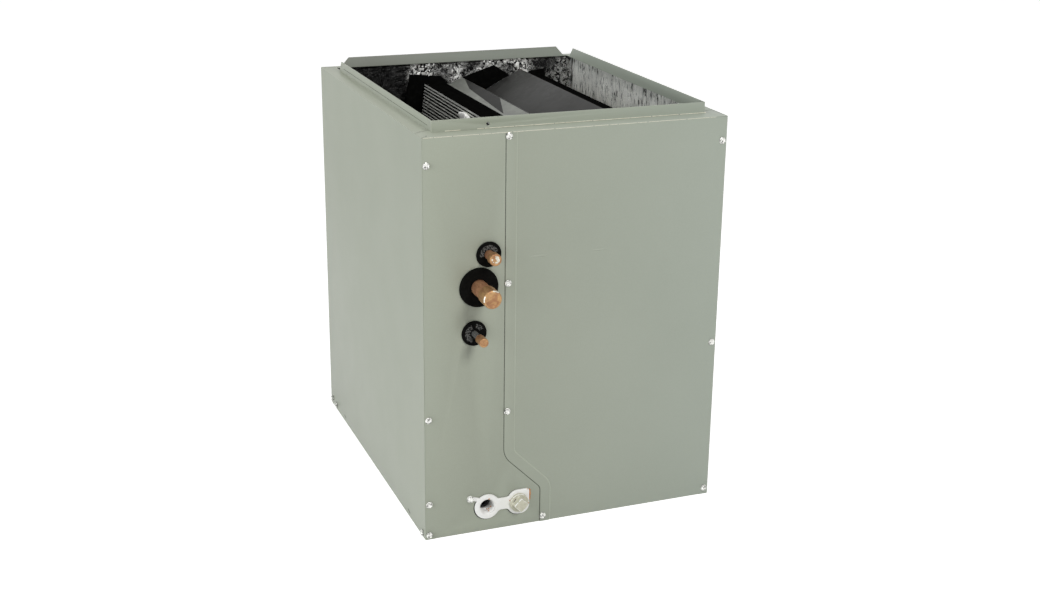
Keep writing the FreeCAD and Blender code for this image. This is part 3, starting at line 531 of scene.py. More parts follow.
def make_foil(name, dark, bright, span, stretch, metallic, cloud_level=0.3, shade_bands=None):
    """Crumpled foil with creases; its dark and bright patches are painted reflection, and the bands
    across it are painted shade.
    """
    material = new_material(name, bright, 0.2, metallic)
    warp = add_node(material, "VectorMath", {0: noise_field(material, 60, 3, 0.6), "Scale": 0.03},
                    operation="SCALE")
    place = add_node(material, "VectorMath", {0: place_texture(material, stretch), 1: warp})
    creases = add_node(material, "TexVoronoi", {"Scale": 110, "Vector": place},
                       feature="DISTANCE_TO_EDGE")
    fine = set_bump(material, creases, 0.9, 2.0)
    set_bump(material, noise_field(material, 240, 5, 0.7, stretch, 1.2), 1.0, 2.2, fine)
    painted_reflection = noise_field(material, 150, 5, 0.72, stretch, 0.8)
    color = ramp(material, painted_reflection, ((span[0], dark), (span[1], bright)))
    color = speckle(material, 1.0, color, noise_field(material, 26, 3), 0.40, 0.54,
                    (cloud_level,) * 3)
    if shade_bands:
        color = tinted(material, 1.0, color, banded(material, shade_bands))
    set_color(material, color)
    set_roughness(material, noise_field(material, 40), 0.14, 0.32)


def make_materials():
    """Every finish, under the name that the pieces use."""
    make_paint("painted_steel")
    # Painted shade for the rear flange's inner face, darker to the left.
    make_paint("shaded_paint", 0.50, 0.78)
    # Painted highlight, for the joggle's ramp on the large panel and two upright corners.
    make_paint("highlight_paint", 1.28, 1.28)
    make_copper("copper", (0.43, 0.205, 0.11), (0.64, 0.345, 0.185), 0.42)
    make_copper("pale_copper", (0.32, 0.155, 0.072), (0.49, 0.29, 0.124), 0.36)
    make_galvanised("galvanised_steel", (0.125, 0.13, 0.115), (0.20, 0.21, 0.185), 0.3)
    # Painted shade for the apex sheet: its right slope, its steep and underside faces, and a cast
    # shadow on its rising slope.
    make_galvanised("zinc_in_shade", (0.028, 0.028, 0.0265), (0.042, 0.042, 0.040), 0.1, 0.08)
    make_galvanised("zinc_in_cast_shadow", (0.006, 0.006, 0.0055), (0.034, 0.034, 0.032), 0.1, 0.05)
    make_galvanised("zinc_in_deep_shade", (0.010, 0.010, 0.0095), (0.020, 0.020, 0.019), 0.1, 0.08)
    # Foils whose dark and bright patches are painted reflection.
    make_foil("foil", (0.005, 0.005, 0.0047), (1.0, 1.0, 0.96), (0.46, 0.505), (1, 1, 1), 0.72,
              0.2, FOIL_SHADE_BANDS)
    make_foil("streaked_foil", (0.025, 0.025, 0.023), (1.0, 1.0, 0.94), (0.395, 0.46),
              (1, 1.3, 0.30), 0.12, 0.85)
    # Painted shade: the left board's foil, dim all over.
    make_foil("shaded_foil", (0.004, 0.004, 0.004), (0.50, 0.50, 0.47), (0.57, 0.65),
              (1, 0.35, 0.8), 0.5)
    two_tone("black_rubber", (0.0038, 0.0038, 0.0034), (0.009, 0.009, 0.008), (0.45, 0.8),
             (420, 6, 0.7), 0.75, gloss=0.02, relief=(0.3, 0.15), relief_grain=(1400, 3))
    two_tone("dusty_rubber", (0.045, 0.045, 0.042), (0.15, 0.15, 0.143), (0.4, 0.62),
             (900, 5, 0.7), 0.85, gloss=0.1, relief=(0.5, 0.2))
    # Pale solder on the liquid line's end, and painted highlight arcs on the suction line's rim.
    two_tone("solder_and_highlight", (0.55, 0.52, 0.42), (0.85, 0.83, 0.76), (0.4, 0.7), (350, 4), 0.4, 0.4,
             relief=(0.5, 0.5))
    two_tone("brass", (0.44, 0.31, 0.12), (0.62, 0.47, 0.2), (0.35, 0.7),
             (260, 3, 0.6, (1, 4, 1)), 0.3, 1.0, relief=(0.15, 0.1))
    two_tone("black_plastic", (0.016, 0.016, 0.016), (0.03, 0.03, 0.03), (0.3, 0.7), (600, 4),
             0.5, relief=(0.25, 0.15))
    two_tone("white_plastic", (0.80, 0.79, 0.75), (0.87, 0.865, 0.84), (0.3, 0.55), (60, 5, 0.6),
             0.42, relief=(0.15, 0.12), relief_grain=(800, 3))
    two_tone("beige_plastic", (0.47, 0.455, 0.345), (0.60, 0.585, 0.47), (0.35, 0.65),
             (260, 5, 0.6), 0.5, relief=(0.35, 0.25), relief_grain=(700, 4))
    # Painted highlight on the plug head's edges and upward faces.
    two_tone("plug_edge_highlight", (0.55, 0.54, 0.43), (0.90, 0.90, 0.87), (0.42, 0.52), (500, 3), 0.4)
    two_tone("orange_sealant", (0.40, 0.15, 0.04), (0.62, 0.29, 0.10), (0.3, 0.7), (300, 4),
             0.55, relief=(0.5, 0.4))
    two_tone("aluminium_fins", (0.62, 0.63, 0.59), (0.95, 0.96, 0.90), (0.35, 0.6),
             (420, 3, 0.6, (1, 3, 0.6)), 0.4, 0.3, relief=(0.3, 0.3))
    # Near black in the valleys between the fins' ripples: painted shade in the gaps.
    two_tone("fin_gap_shade", (0.0035, 0.0035, 0.0033), (0.02, 0.02, 0.019), (0.45, 0.75),
             (700, 3, 0.6, (1, 4, 1)), 0.9, gloss=0.03, relief=(0.3, 0.3))
    # Near black: galvanised sheet painted as it looks in shade, for the coil's dark plates and
    # strips.
    two_tone("dark_steel", (0.0028, 0.0028, 0.0026), (0.0065, 0.0065, 0.006), (0.45, 0.8),
             (160, 6, 0.65), 0.85, gloss=0.0, relief=(0.15, 0.12), relief_grain=(700, 3),
             roughness_span=(0.75, 0.95))
    # Dark and pale patches: partly wear, partly painted reflection on the screw heads.
    two_tone("zinc", (0.13, 0.13, 0.12), (0.80, 0.80, 0.76), (0.39, 0.52), (420, 3, 0.6), 0.3,
             0.5, relief=(0.4, 0.3), roughness_span=(0.2, 0.42))
    # Dark joints, and painted shade round screw heads, beside the panel seam and in the side slots.
    two_tone("joint_grime_and_shade", (0.06, 0.063, 0.053), (0.13, 0.137, 0.115), (0.35, 0.7), (300, 4),
             0.8, gloss=0.2)
    # Painted highlight: the pale dashed lines along the front bends.
    two_tone("bend_highlight_paint", (0.66, 0.63, 0.50), (0.84, 0.81, 0.68), (0.35, 0.6), (260, 4), 0.5)


# The cabinet

def make_casing():
    """The folded sheets; the rear flange's inner face sees little light and is darker."""
    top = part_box("line_panel")[1].z + 2 * MM
    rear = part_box("casing_wrapper")[1].y - 20 * MM
    for name, node in (("cabinet_shell", "casing_wrapper"), ("front_rail_top", "front_top_rail"),
                       ("front_rail_bottom", "front_bottom_rail")):
        piece = softened(name, node, 0.2, 0.8, extra=("shaded_paint",))
        for face in piece.data.polygons:
            if face.center.z > top and face.center.y > rear and face.normal.y < -0.7:
                face.material_index = 1
    softened("line_cover", "line_panel", 0.2, 0.4)


def seam_line(shift_mm):
    """The seam in the panel's plane from top to bottom, moved to the right, in metres."""
    low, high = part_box("access_panel")
    left = low.x + shift_mm * MM
    step = SEAM_STEP_MM * MM
    bend = (SEAM_BEND_HEIGHT_MM + shift_mm * math.tan(math.radians(22.5))) * MM
    corners = [Vector((left, high.z)), Vector((left, bend)), Vector((left + step, bend - step)),
               Vector((left + step, low.z))]
    radii = [0, (SEAM_UPPER_RADIUS_MM - shift_mm) * MM, (SEAM_LOWER_RADIUS_MM + shift_mm) * MM, 0]
    return rounded(corners, radii)


def make_access_panel():
    """The panel that is joggled out along its curved edge, whose cut edge is rounded."""
    low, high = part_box("access_panel")
    raised = low.y / MM
    lift = panel_front / MM - raised
    half = GAUGE_MM / 2
    section = [(0, raised + GAUGE_MM), *arc(half, raised + half, half, 180, 270, 4)]
    section += [(RAMP_START_MM + (RAMP_END_MM - RAMP_START_MM) * share, raised + lift * ease(share))
                for share in shares(8)]

    def build(work):
        rows = [at_level(seam_line(shift), level * MM) for shift, level in section]
        rows.append([(high.x, panel_front, point.z) for point in rows[-1]])
        loft(work, rows, closed=False)

    piece = mesh_from("access_cover", build)
    apply_modifier(piece, "SOLIDIFY", thickness=GAUGE_MM * MM, offset=-1)
    finish_piece(smooth(piece, 30), ("painted_steel", "highlight_paint"), "access_panel")
    # The joggle's ramp faces take the second material, a painted highlight.
    for face in piece.data.polygons:
        if face.normal.x > 0.25 and face.normal.y < -0.5:
            face.material_index = 1


def make_seam_shadow():
    """A painted shadow: the dark line along the lapped edge of the large panel."""
    rows = [at_level(seam_line(shift), panel_front + level * MM) for shift, level in SEAM_SHADOW_MM]
    add_piece("seam_shadow_line", lambda work: loft(work, list(zip(*rows)), caps=True),
              ("joint_grime_and_shade",))


def make_creases():
    """Two short raised lines across the large panel."""
    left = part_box("access_panel")[0].x / MM
    front = panel_front / MM
    height = 403
    for name, start, length in (("crease_left", 35.2, 30), ("crease_right", 127, 24)):
        rows = []
        for share in shares(16):
            swell = math.sin(math.pi * share) ** 0.5
            rows.append([Vector((left + start + length * share, front + 0.05 - 0.45 * swell * point.y,
                                 height + 1.5 * swell * point.x)) * MM
                         for point in arc(0, 0, 1, 0, 180, 6)])
        add_piece(name, lambda work: loft(work, rows, caps=True), ("painted_steel",), angle=60)


# Screws

def screw_head(work, seat, facing, turn):
    """A hex washer head with a shallow dish, pointing out of a face."""
    side = UP.cross(facing)
    rings = []
    for out, radius, hexagonal in SCREW_RINGS_MM:
        ring = []
        for angle in range(0, 360, 15):
            reach = radius
            if hexagonal:
                reach /= math.cos(math.radians(angle % 60 - 30))
            direction = math.radians(angle) + turn
            spoke = side * math.cos(direction) + UP * math.sin(direction)
            ring.append(seat + (facing * out + spoke * reach) * MM)
        rings.append(ring)
    # The washer's base ring takes the second material, painted shade round the head.
    for vert in loft(work, rings, caps=True)[0][0]:
        for face in vert.link_faces:
            face.material_index = 1


def make_screws():
    """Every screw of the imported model, in its own place."""
    draw = random.Random(7)
    for name, node in (("front_screws", "panel_screws"), ("foot_screws", "side_screws"),
                       ("port_screw", "drain_plate_screw")):
        def build(work):
            for low, high in islands(node):
                seat = (low + high) / 2
                if node == "side_screws":
                    facing = RIGHT * math.copysign(1, seat.x)
                    seat.x = low.x if facing.x > 0 else high.x
                else:
                    facing = -BACK
                    seat.y = high.y
                screw_head(work, seat, facing, draw.uniform(0, math.pi / 3))

        add_piece(name, build, ("zinc", "joint_grime_and_shade"), node, 35)


# Grommets and copper lines

def make_grommet(name, node, bore, neck, patches):
    """A moulded rubber ring; its face has worn grey patches."""
    low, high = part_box(node)
    centre = middle(node)
    centre.y = panel_front
    rim = (high.x - low.x) / 2 / MM
    front = (panel_front - low.y) / MM
    back = (panel_front - high.y) / MM
    flat = rim - bore - 2.1
    rings = round(flat / 0.6)
    profile = [(back, bore), *arc(front - 0.8, bore + 0.8, 0.8, -90, 0, 4)]
    profile += [(front, bore + 0.8 + flat * index / rings) for index in range(1, rings)]
    profile += arc(front - 1.3, rim - 1.3, 1.3, 0, 90, 5)
    profile += [(0.1, rim), (0.1, neck), (back, neck), (back, bore)]

    def worn(point):
        if point.y > panel_front - (front - 0.2) * MM:
            return False
        radius, angle = polar(point, centre)
        return any(start < angle < end and near < radius < far
                   for start, end, near, far in patches)

    def build(work):
        lathe(work, profile, centre, 96)
        for vert in work.verts:
            if worn(vert.co):
                vert.co.y -= 0.15 * MM * noise.noise(vert.co / MM * 0.7)
        for face in work.faces:
            place = face.calc_center_median()
            if worn(place) and noise.noise(place / MM * 0.55) > -0.08:
                face.material_index = 1

    add_piece(name, build, ("black_rubber", "dusty_rubber"), node, 50)


def tube_profile(radius, end, tip, end_length, inner):
    """A tube that swages out to a closed end with a rounded rim."""
    rim = end * 0.16
    dish = end * 0.1
    step = tip - end_length
    spread = (end - radius) * 1.2
    profile = [(-inner, 0), (-inner, radius), (step - spread, radius)]
    profile += [(step + spread * (share * 2 - 1), radius + (end - radius) * ease(share))
                for share in shares(6)[1:-1]]
    profile += [(step + spread, end), (tip - rim - 0.35 * end, end), (tip - rim, end * 0.995)]
    profile += arc(tip - rim, end - rim, rim, 90, 0, 6)[1:]
    profile += [(tip - dish * 0.35, end * 0.72), (tip - dish * 0.9, end * 0.6),
                (tip - dish, end * 0.4), (tip - dish, 0)]
    return profile


def make_stub(name, node, reach, radius, end, end_length, inner, highlight_arcs=()):
    """A copper tube with a wide pale end, and painted highlights on stretches of its rim."""
    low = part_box(node)[0]
    centre = middle(node)
    centre.y = low.y + reach * MM
    swage = low.y + (end_length + 1.5) * MM

    def build(work):
        lathe(work, tube_profile(radius, end, reach, end_length, inner), centre, 64)
        for vert in work.verts:
            if vert.co.y < swage:
                dent = 0.012 * (noise.noise(vert.co / MM * 0.25) - 0.6)
                vert.co.x += (vert.co.x - centre.x) * dent
                vert.co.z += (vert.co.z - centre.z) * dent
        for face in work.faces:
            place = face.calc_center_median()
            spoke, angle = polar(place, centre)
            on_rim = place.y < low.y + 1.9 * MM and 0.86 < spoke / end < 0.985
            if on_rim and any(start < angle < stop for start, stop in highlight_arcs):
                face.material_index = 2
            elif place.y < swage:
                face.material_index = 1

    add_piece(name, build, ("copper", "pale_copper", "solder_and_highlight"), node, 40)


def make_solder_spots():
    """Pale solder on the liquid line's closed end."""
    centre = middle("liquid_stub")
    centre.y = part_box("liquid_stub")[0].y
    spots = ((2.4, 2.6, 3.0, 3.4, 1), (3.6, -1.2, 2.6, 3.0, 2), (1.4, -3.9, 2.6, 1.6, 3),
             (-5.4, 0.6, 1.8, 1.9, 4), (-3.6, -2.6, 1.1, 1.0, 5), (0.2, 5.0, 1.4, 1.0, 6))

    def build(work):
        for right, rise, wide, tall, seed in spots:
            blob(work, centre + Vector((right, 1.1, rise)) * MM, (wide, 1.0, tall), seed)

    add_piece("liquid_solder", build, ("solder_and_highlight",), angle=80)


def make_service_sleeve():
    """The thin grey sleeve on the service line, from the seal to the tube's wide end."""
    centre = middle("service_stub")
    centre.y = panel_front
    start = 2.0
    end = 19.6
    inner = 4.02
    outer = 4.28
    profile = [(start, inner), (start, outer)]
    for index in range(1, 12):
        profile.append((start + (end - start) * index / 12, outer + 0.12 * math.sin(index * 2.1)))
    profile += [(end, outer), (end, inner), (start, inner)]
    add_piece("service_sleeve", lambda work: lathe(work, profile, centre, 40), ("dusty_rubber",),
              angle=40)


def make_lines():
    make_grommet("suction_seal", "suction_grommet", 11.4, 22.7, ())
    make_grommet("liquid_seal", "liquid_grommet", 6.65, 13.2, ((20, 190, 7.5, 13.5),))
    make_grommet("service_seal", "service_grommet", 4.3, 13.2,
                 ((110, 255, 6.5, 13.5), (28, 78, 8, 14)))
    make_stub("suction_line", "suction_stub", 57, 11.1, 13, 25, 26, ((52, 92), (150, 190)))
    make_stub("liquid_line", "liquid_stub", 29, 6.35, 8.5, 14, 20)
    make_stub("service_line", "service_stub", 42, 4, 6.5, 20, 26)
    make_solder_spots()
    make_service_sleeve()


# Drain ports

def port_outline():
    """The two-lobed plate in millimetres about the primary port, anticlockwise."""
    line = arc(0, 0, 18.8, 37.9, 324.5, 56)
    line += arc(21.0, -15, 7, 144.5, 90, 8)[1:]
    line += arc(27.1, -15, 7, 90, 32, 8)
    line += arc(46.6, -2.8, 16, 212, 270, 14)[1:]
    line += arc(50.6, -5.8, 13, 270, 360, 16)
    line += arc(59.6, 14.8, 4, 0, 90, 8)
    line += arc(46.6, 2.8, 16, 90, 146, 14)
    line += arc(30.0, 14, 4, -34, -90, 8)[1:]
    line += arc(18.0, 14, 4, -90, -142.1, 8)
    return line[:-1]


def make_port_plate():
    """The white plate with its tab and bosses, a painted shadow line below and to the left of it, and
    the thread.
    """
    low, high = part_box("drain_port_plate")
    tab = [*arc(-25.2, 15, 4.9, 40, 320, 28), (-17.5, 10.6), (-13, 10), (-11.5, 14.5)]

    def build(work):
        holes = [placed(port, circle(PORT_BORE_MM)) for port in ports]
        moulded_slab(work, placed(ports[0], port_outline()), holes, low.y, panel_front, 1.0, 0.7)
        moulded_slab(work, placed(ports[0], tab), [], panel_front - 1.8 * MM, panel_front, 0.4)
        for port in ports:
            loft(work, [at_level(placed(port, circle(radius)), y) for radius, y in
                        ((PORT_BORE_MM, panel_front), (PORT_BOSS_MM, panel_front),
                         (PORT_BOSS_MM, high.y), (PORT_BORE_MM, high.y),
                         (PORT_BORE_MM, panel_front))])

    def build_shadow_line(work):
        outline = placed(ports[0] + Vector((-0.3, -0.6)) * MM, port_outline())
        holes = [placed(port, circle(PORT_BOSS_MM)) for port in ports]
        moulded_slab(work, offset_loop(outline, -0.7 * MM), holes, panel_front - 0.35 * MM,
                     panel_front, 0.1)

    def build_thread(work):
        steps = 40
        rows = []
        for index in range(THREAD_TURNS * steps + 1):
            spoke = Matrix.Rotation(2 * math.pi * index / steps, 2) @ Vector((1, 0))
            depth = low.y / MM + 1.2 + THREAD_PITCH_MM * index / steps
            rows.append([at_level(placed(ports[0], [spoke * radius]), (depth + lead) * MM)[0]
                         for radius, lead in ((11.75, -0.85), (10.7, -0.12), (10.7, 0.12),
                                              (11.75, 0.85))])
        loft(work, rows, caps=True)

    add_piece("port_plate", build, ("white_plastic",), "drain_port_plate", 40)
    add_piece("port_shadow_line", build_shadow_line, ("black_rubber",), angle=40)
    add_piece("port_thread", build_thread, ("white_plastic",), angle=40)


def make_plug():
    """The plug's round collar and its square head, turned on one corner."""
    low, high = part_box("drain_plug")
    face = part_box("drain_port_plate")[0].y
    centre = Vector((plug.x, face, plug.z))
    shank = 11.4
    collar = (high.x - low.x) / 2 / MM + 0.4
    length = (face - low.y) / MM
    top = length - 1.3
    half = 8.25
    corner = 1.4
    profile = [(-15, 0), (-15, shank - 1), (-14, shank), (0.05, shank), (0.05, collar - 0.5),
               (0.5, collar), (3.4, collar), *arc(3.4, collar - 1.1, 1.1, 90, 0, 5)[1:],
               (4.5, 10), (4.5, 4), (4.5, 0)]
    levels = [(4.2, half + 0.6, 1.6), (4.8, half + 0.15, 1.5), (5.4, half, corner)]
    levels += [(out, size, corner) for out, size in arc(top, half - 1.55, 1.3, 90, 0, 5)]
    levels.append((length - 0.25, half - 3.4, corner))

    def build(work):
        lathe(work, profile, centre, 72)
        rings = []
        for out, size, curve in levels:
            square = [Matrix.Rotation(math.pi / 2 * turn, 2) @ Vector((0, -size * math.sqrt(2)))
                      for turn in range(4)]
            rings.append(at_level(placed(ports[1], rounded(square, [curve] * 4, 6)),
                                  face - out * MM))
        loft(work, rings, caps=True)

    def build_mark(work):
        mark = [(-10.0, 3.0), (-9.2, 2.3), (-5.4, 7.2), (-6.2, 7.9)]
        moulded_slab(work, placed(ports[1], mark), [], face - 4.75 * MM, face - 4.4 * MM, 0.1)

    piece = add_piece("port_plug", build, ("beige_plastic", "plug_edge_highlight"), "drain_plug", 40)
    # The head's slanted outer and upward faces take the second material, a painted highlight.
    for part in piece.data.polygons:
        slanted = 0.25 < abs(part.normal.y) < 0.95
        if slanted and (part.center.y < face - 5.2 * MM or part.normal.z > 0.3):
            part.material_index = 1
    add_piece("plug_mark", build_mark, ("dusty_rubber",), angle=40)


def make_sealant_beads():
    """Orange sealant squeezed out at the plate's right end and in its corners."""
    start = Vector((ports[0].x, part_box("drain_port_plate")[0].y, ports[0].y))
    spots = ((2.3, 11.9, 0.0, 1.1, 0.8), (17.9, -7.9, 1.0, 1.3, 1.1), (33.6, 4.4, -0.3, 0.9, 0.9),
             (60.2, 17.9, 0.8, 1.0, 0.9), (62.6, -4.2, 0.2, 0.9, 0.9), (6.6, -3.4, 5.8, 0.9, 0.9),
             (4.2, -6.3, 6.6, 0.9, 0.9), (3.4, -8.8, 5.0, 0.9, 0.9), (1.7, -7.4, 7.8, 0.8, 0.8))

    def build(work):
        for seed, (right, rise, depth, wide, tall) in enumerate(spots, 20):
            blob(work, start + Vector((right, depth, rise)) * MM, (wide, 0.9, tall), seed)
        rows = []
        for share in shares(26):
            wobble = noise.noise(Vector((share * 7, 3.1, 0)))
            width = 1.7 + 0.7 * wobble
            if not 0.06 < share < 0.94:
                width *= 0.5
            left = 63.4 + 0.4 * noise.noise(Vector((share * 5, 0, 8)))
            rows.append([start + Vector((left + 0.8 * width * (1 - point.x),
                                         3 - (2.4 + 0.5 * wobble) * max(point.y, 0) ** 0.7,
                                         16.6 * share + 0.2)) * MM
                         for point in arc(0, 0, 1, 0, 180, 8)])
        loft(work, rows, caps=True)

    add_piece("port_sealant", build, ("orange_sealant",), angle=60)


# The coil

def slab_frame(node, side):
    """Origin, inward and downward ways of a leaning slab."""
    low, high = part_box(node)
    depth = SLAB_DEPTH_MM * MM * math.cos(LEAN)
    x = high.x - depth if side > 0 else low.x + depth
    inward = Vector((side * math.cos(LEAN), 0, -math.sin(LEAN)))
    down = Vector((-side * math.sin(LEAN), 0, -math.cos(LEAN)))
    return Vector((x, low.y, high.z)), inward, down


def make_fin_pack(name, node, side):
    """A slab of stacked fins: their wavy edges line up as ripples along the tubes, and the valleys
    take a near-black material, painted shade in the gaps.
    """
    origin, inward, down = slab_frame(node, side)
    low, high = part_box(node)
    width = high.y - low.y
    length = TUBES * TUBE_PITCH_MM
    pitch = TUBE_PITCH_MM / RIPPLES_PER_PITCH
    columns = round(width / (FIN_COLUMN_MM * MM))
    section = []
    gap_shade_indices = []
    for ripple in range(TUBES * RIPPLES_PER_PITCH):
        start = ripple * pitch
        crest = 0.42 if ripple % RIPPLES_PER_PITCH else 0.56
        section += [(start, 0, 0), (start + crest * pitch, 0, 0),
                    (start + (crest + 1) / 2 * pitch, RIPPLE_DEPTH_MM, 1)]
        gap_shade_indices += [0, 1, 1]
    section.append((length, 0, 0))
    section += [(length * (1 - index / TUBES), SLAB_DEPTH_MM, 0) for index in range(TUBES + 1)]
    gap_shade_indices += [0] * (TUBES + 2)

    def build(work):
        rings = []
        for column in range(columns + 1):
            y = width * column / columns
            notch = 0.35 if column % 2 else 0.0
            ring = []
            for reach, depth, valley in section:
                if depth < 3 and 0 < column < columns and 0 < reach < length:
                    wave = noise.noise(Vector((reach * 0.2, y / MM * 0.11, 3)))
                    depth += notch * (1 - valley) + 0.25 * abs(wave)
                place = origin + inward * (depth * MM) + down * (reach * MM)
                place.y += y
                ring.append(place)
            rings.append(ring)
        for number, face in enumerate(loft(work, rings, caps=True)[1]):
            face.material_index = gap_shade_indices[number % len(section)]

    add_piece(name, build, ("aluminium_fins", "fin_gap_shade"), node)


def make_clip():
    """The small white clip, a rounded block with a slot and two uneven ends."""
    low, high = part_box("fin_clip")
    origin, inward, down = slab_frame("left_fin_pack", 1)
    half = Vector((3.4, (high.y - low.y) / 2 / MM, 7))
    flat = Vector((0.55, 0.72, 0.55))

    def build(work):
        bmesh.ops.create_cube(work, size=2)
        bmesh.ops.subdivide_edges(work, edges=work.edges, cuts=7, use_grid_fill=True)
        centre = origin + inward * (-3.6 * MM) + down * (13 * MM)
        centre.y = (low.y + high.y) / 2
        for vert in work.verts:
            box = Vector(max(-limit, min(limit, level)) for limit, level in zip(flat, vert.co))
            away = (vert.co - box).normalized()
            place = box + Vector((away.x * 0.45, away.y * 0.28, away.z * 0.45))
            dent = 0.9 * noise.noise(place * 2.1)
            along = place.y * half.y
            if abs(along + 1.5) < 1.6 and place.x < 0:
                place.x *= 0.55
            vert.co = centre + (inward * (place.x * half.x - 0.2 * dent)
                                + down * (place.z * half.z) + BACK * along) * MM

    def build_ends(work):
        for y, size, seed in ((high.y + 6 * MM, (3.4, 9.5, 5.6), 31),
                              (low.y - 6 * MM, (3.2, 9, 6.2), 32)):
            place = origin + inward * (-3.2 * MM) + down * (12.5 * MM)
            place.y = y
            blob(work, place, size, seed)

    add_piece("white_clip", build, ("white_plastic",), "fin_clip", 60)
    add_piece("clip_ends", build_ends, ("white_plastic",), angle=80)


def paint_apex_shade(piece):
    """Painted shade on the folded sheet over the valley: the right slope in shade, steep and
    underside faces near black, and a cast shadow across the rising slope outside its lit parts and
    the lit wedge.
    """
    low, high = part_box("apex_plate")
    axis = (low.x + high.x) / 2
    foot = low.x + 5.9 * MM
    peak = low.x + 25.9 * MM

    def at(share, depth_mm):
        return Vector((foot + (peak - foot) * share, low.y + depth_mm * MM, 0))

    light_far = (at(0.43, 335), at(1.0, 391))
    light_near = (at(0.03, 175), at(0.43, 335))
    lit_wedge = (at(0.1, 162), at(1.0, 225))
    work = bmesh.new()
    work.from_mesh(piece.data)
    for start, end in (light_far, light_near, lit_wedge):
        bmesh.ops.bisect_plane(work, geom=work.verts[:] + work.edges[:] + work.faces[:],
                               plane_co=start, plane_no=(end - start).cross(UP).normalized())
    work.to_mesh(piece.data)
    work.free()

    def limit(line, y):
        start, end = line
        return start.x + (end.x - start.x) * (y - start.y) / (end.y - start.y)

    for face in piece.data.polygons:
        place = face.center
        light = place.x < limit(light_far if place.y > light_far[0].y else light_near, place.y)
        near = place.y < lit_wedge[1].y and place.x > limit(lit_wedge, place.y)
        if face.normal.z < 0.2 or (place.x < axis and face.normal.x > 0.3):
            face.material_index = 2
        elif place.x > axis:
            face.material_index = 1
        elif foot < place.x < peak and not light and not near:
            face.material_index = 3


def make_coil_plates():
    paint_apex_shade(softened("apex_cover", "apex_plate",
                       extra=("zinc_in_shade", "zinc_in_deep_shade", "zinc_in_cast_shadow")))
    for side in ("left", "right"):
        for name, node in (("end_plate_front", "front_tube_sheet"),
                           ("end_plate_rear", "rear_tube_sheet"), ("end_strip", "top_strip"),
                           ("channel", "pan_rail")):
            softened(side + "_" + name, side + "_" + node)
    softened("front_centre_plate", "front_delta_plate")
    softened("rear_centre_plate", "rear_delta_plate")


def make_end_cap():
    """The plate that closes the valley of the apex sheet at the rear, near black in painted shade."""
    low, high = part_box("apex_plate")
    centre = Vector(((low.x + high.x) / 2, high.z))
    shape = [Vector((-41.1, -8.6)), Vector((0, -30.2)), Vector((42, -9)), Vector((14, 9))]
    outline = placed(centre, rounded(shape, [0.5, 1, 0.5, 1.5], 4))
    face, back = (high.y - depth * MM for depth in (0.95, 0.05))
    add_piece("valley_end_cap", lambda work: moulded_slab(work, outline, [], face, back, 0.3),
              ("dark_steel",), angle=30)


def make_plate_screw():
    """A bright screw on the dark plate behind the left slab."""
    low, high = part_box("left_rear_tube_sheet")
    seat = Vector((low.x + 98 * MM, low.y, high.z - 26 * MM))
    add_piece("end_plate_screw", lambda work: screw_head(work, seat, -BACK, 0.3),
              ("zinc", "joint_grime_and_shade"), angle=35)


def round_tubes(name, node, swell_mm):
    """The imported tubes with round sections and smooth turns."""
    work = clean_copy(node)
    crease = work.edges.layers.float.new("crease_edge")
    for edge in work.edges:
        if len(edge.link_faces) == 2 and edge.calc_face_angle() > math.radians(75):
            edge[crease] = 1
    piece = to_piece(name, work)
    apply_modifier(piece, "SUBSURF", levels=2)
    verts = piece.data.vertices
    normals = [Vector(vert.normal) for vert in verts]
    ends = [pick(vert.co.y for vert in verts) for pick in (min, max)]
    for vert, normal in zip(verts, normals):
        if abs(normal.y) < 0.9:
            if min(abs(vert.co.y - end) for end in ends) < 0.5 * MM:
                normal.y = 0
            vert.co += normal * swell_mm * MM
    finish_piece(smooth(piece, 50), (slot_of[node],), node)


def make_tubes():
    for name, node in (("hairpins", "rear_bends"), ("return_bends", "front_bends")):
        for side in ("left_", "right_"):
            round_tubes(side + name, side + node, 0.5)
    round_tubes("suction_arms", "suction_branches", 0.5)
    round_tubes("capillary_tubes", "feeder_tubes", 0.2)
    softened("suction_manifold", "suction_header", 1.5, 1.5, 3)
    softened("liquid_distributor", "distributor", 1.2, 1.2, 3)
    softened("condensate_pan", "drain_pan", 0.6, 0.8, 2)


# Foil boards

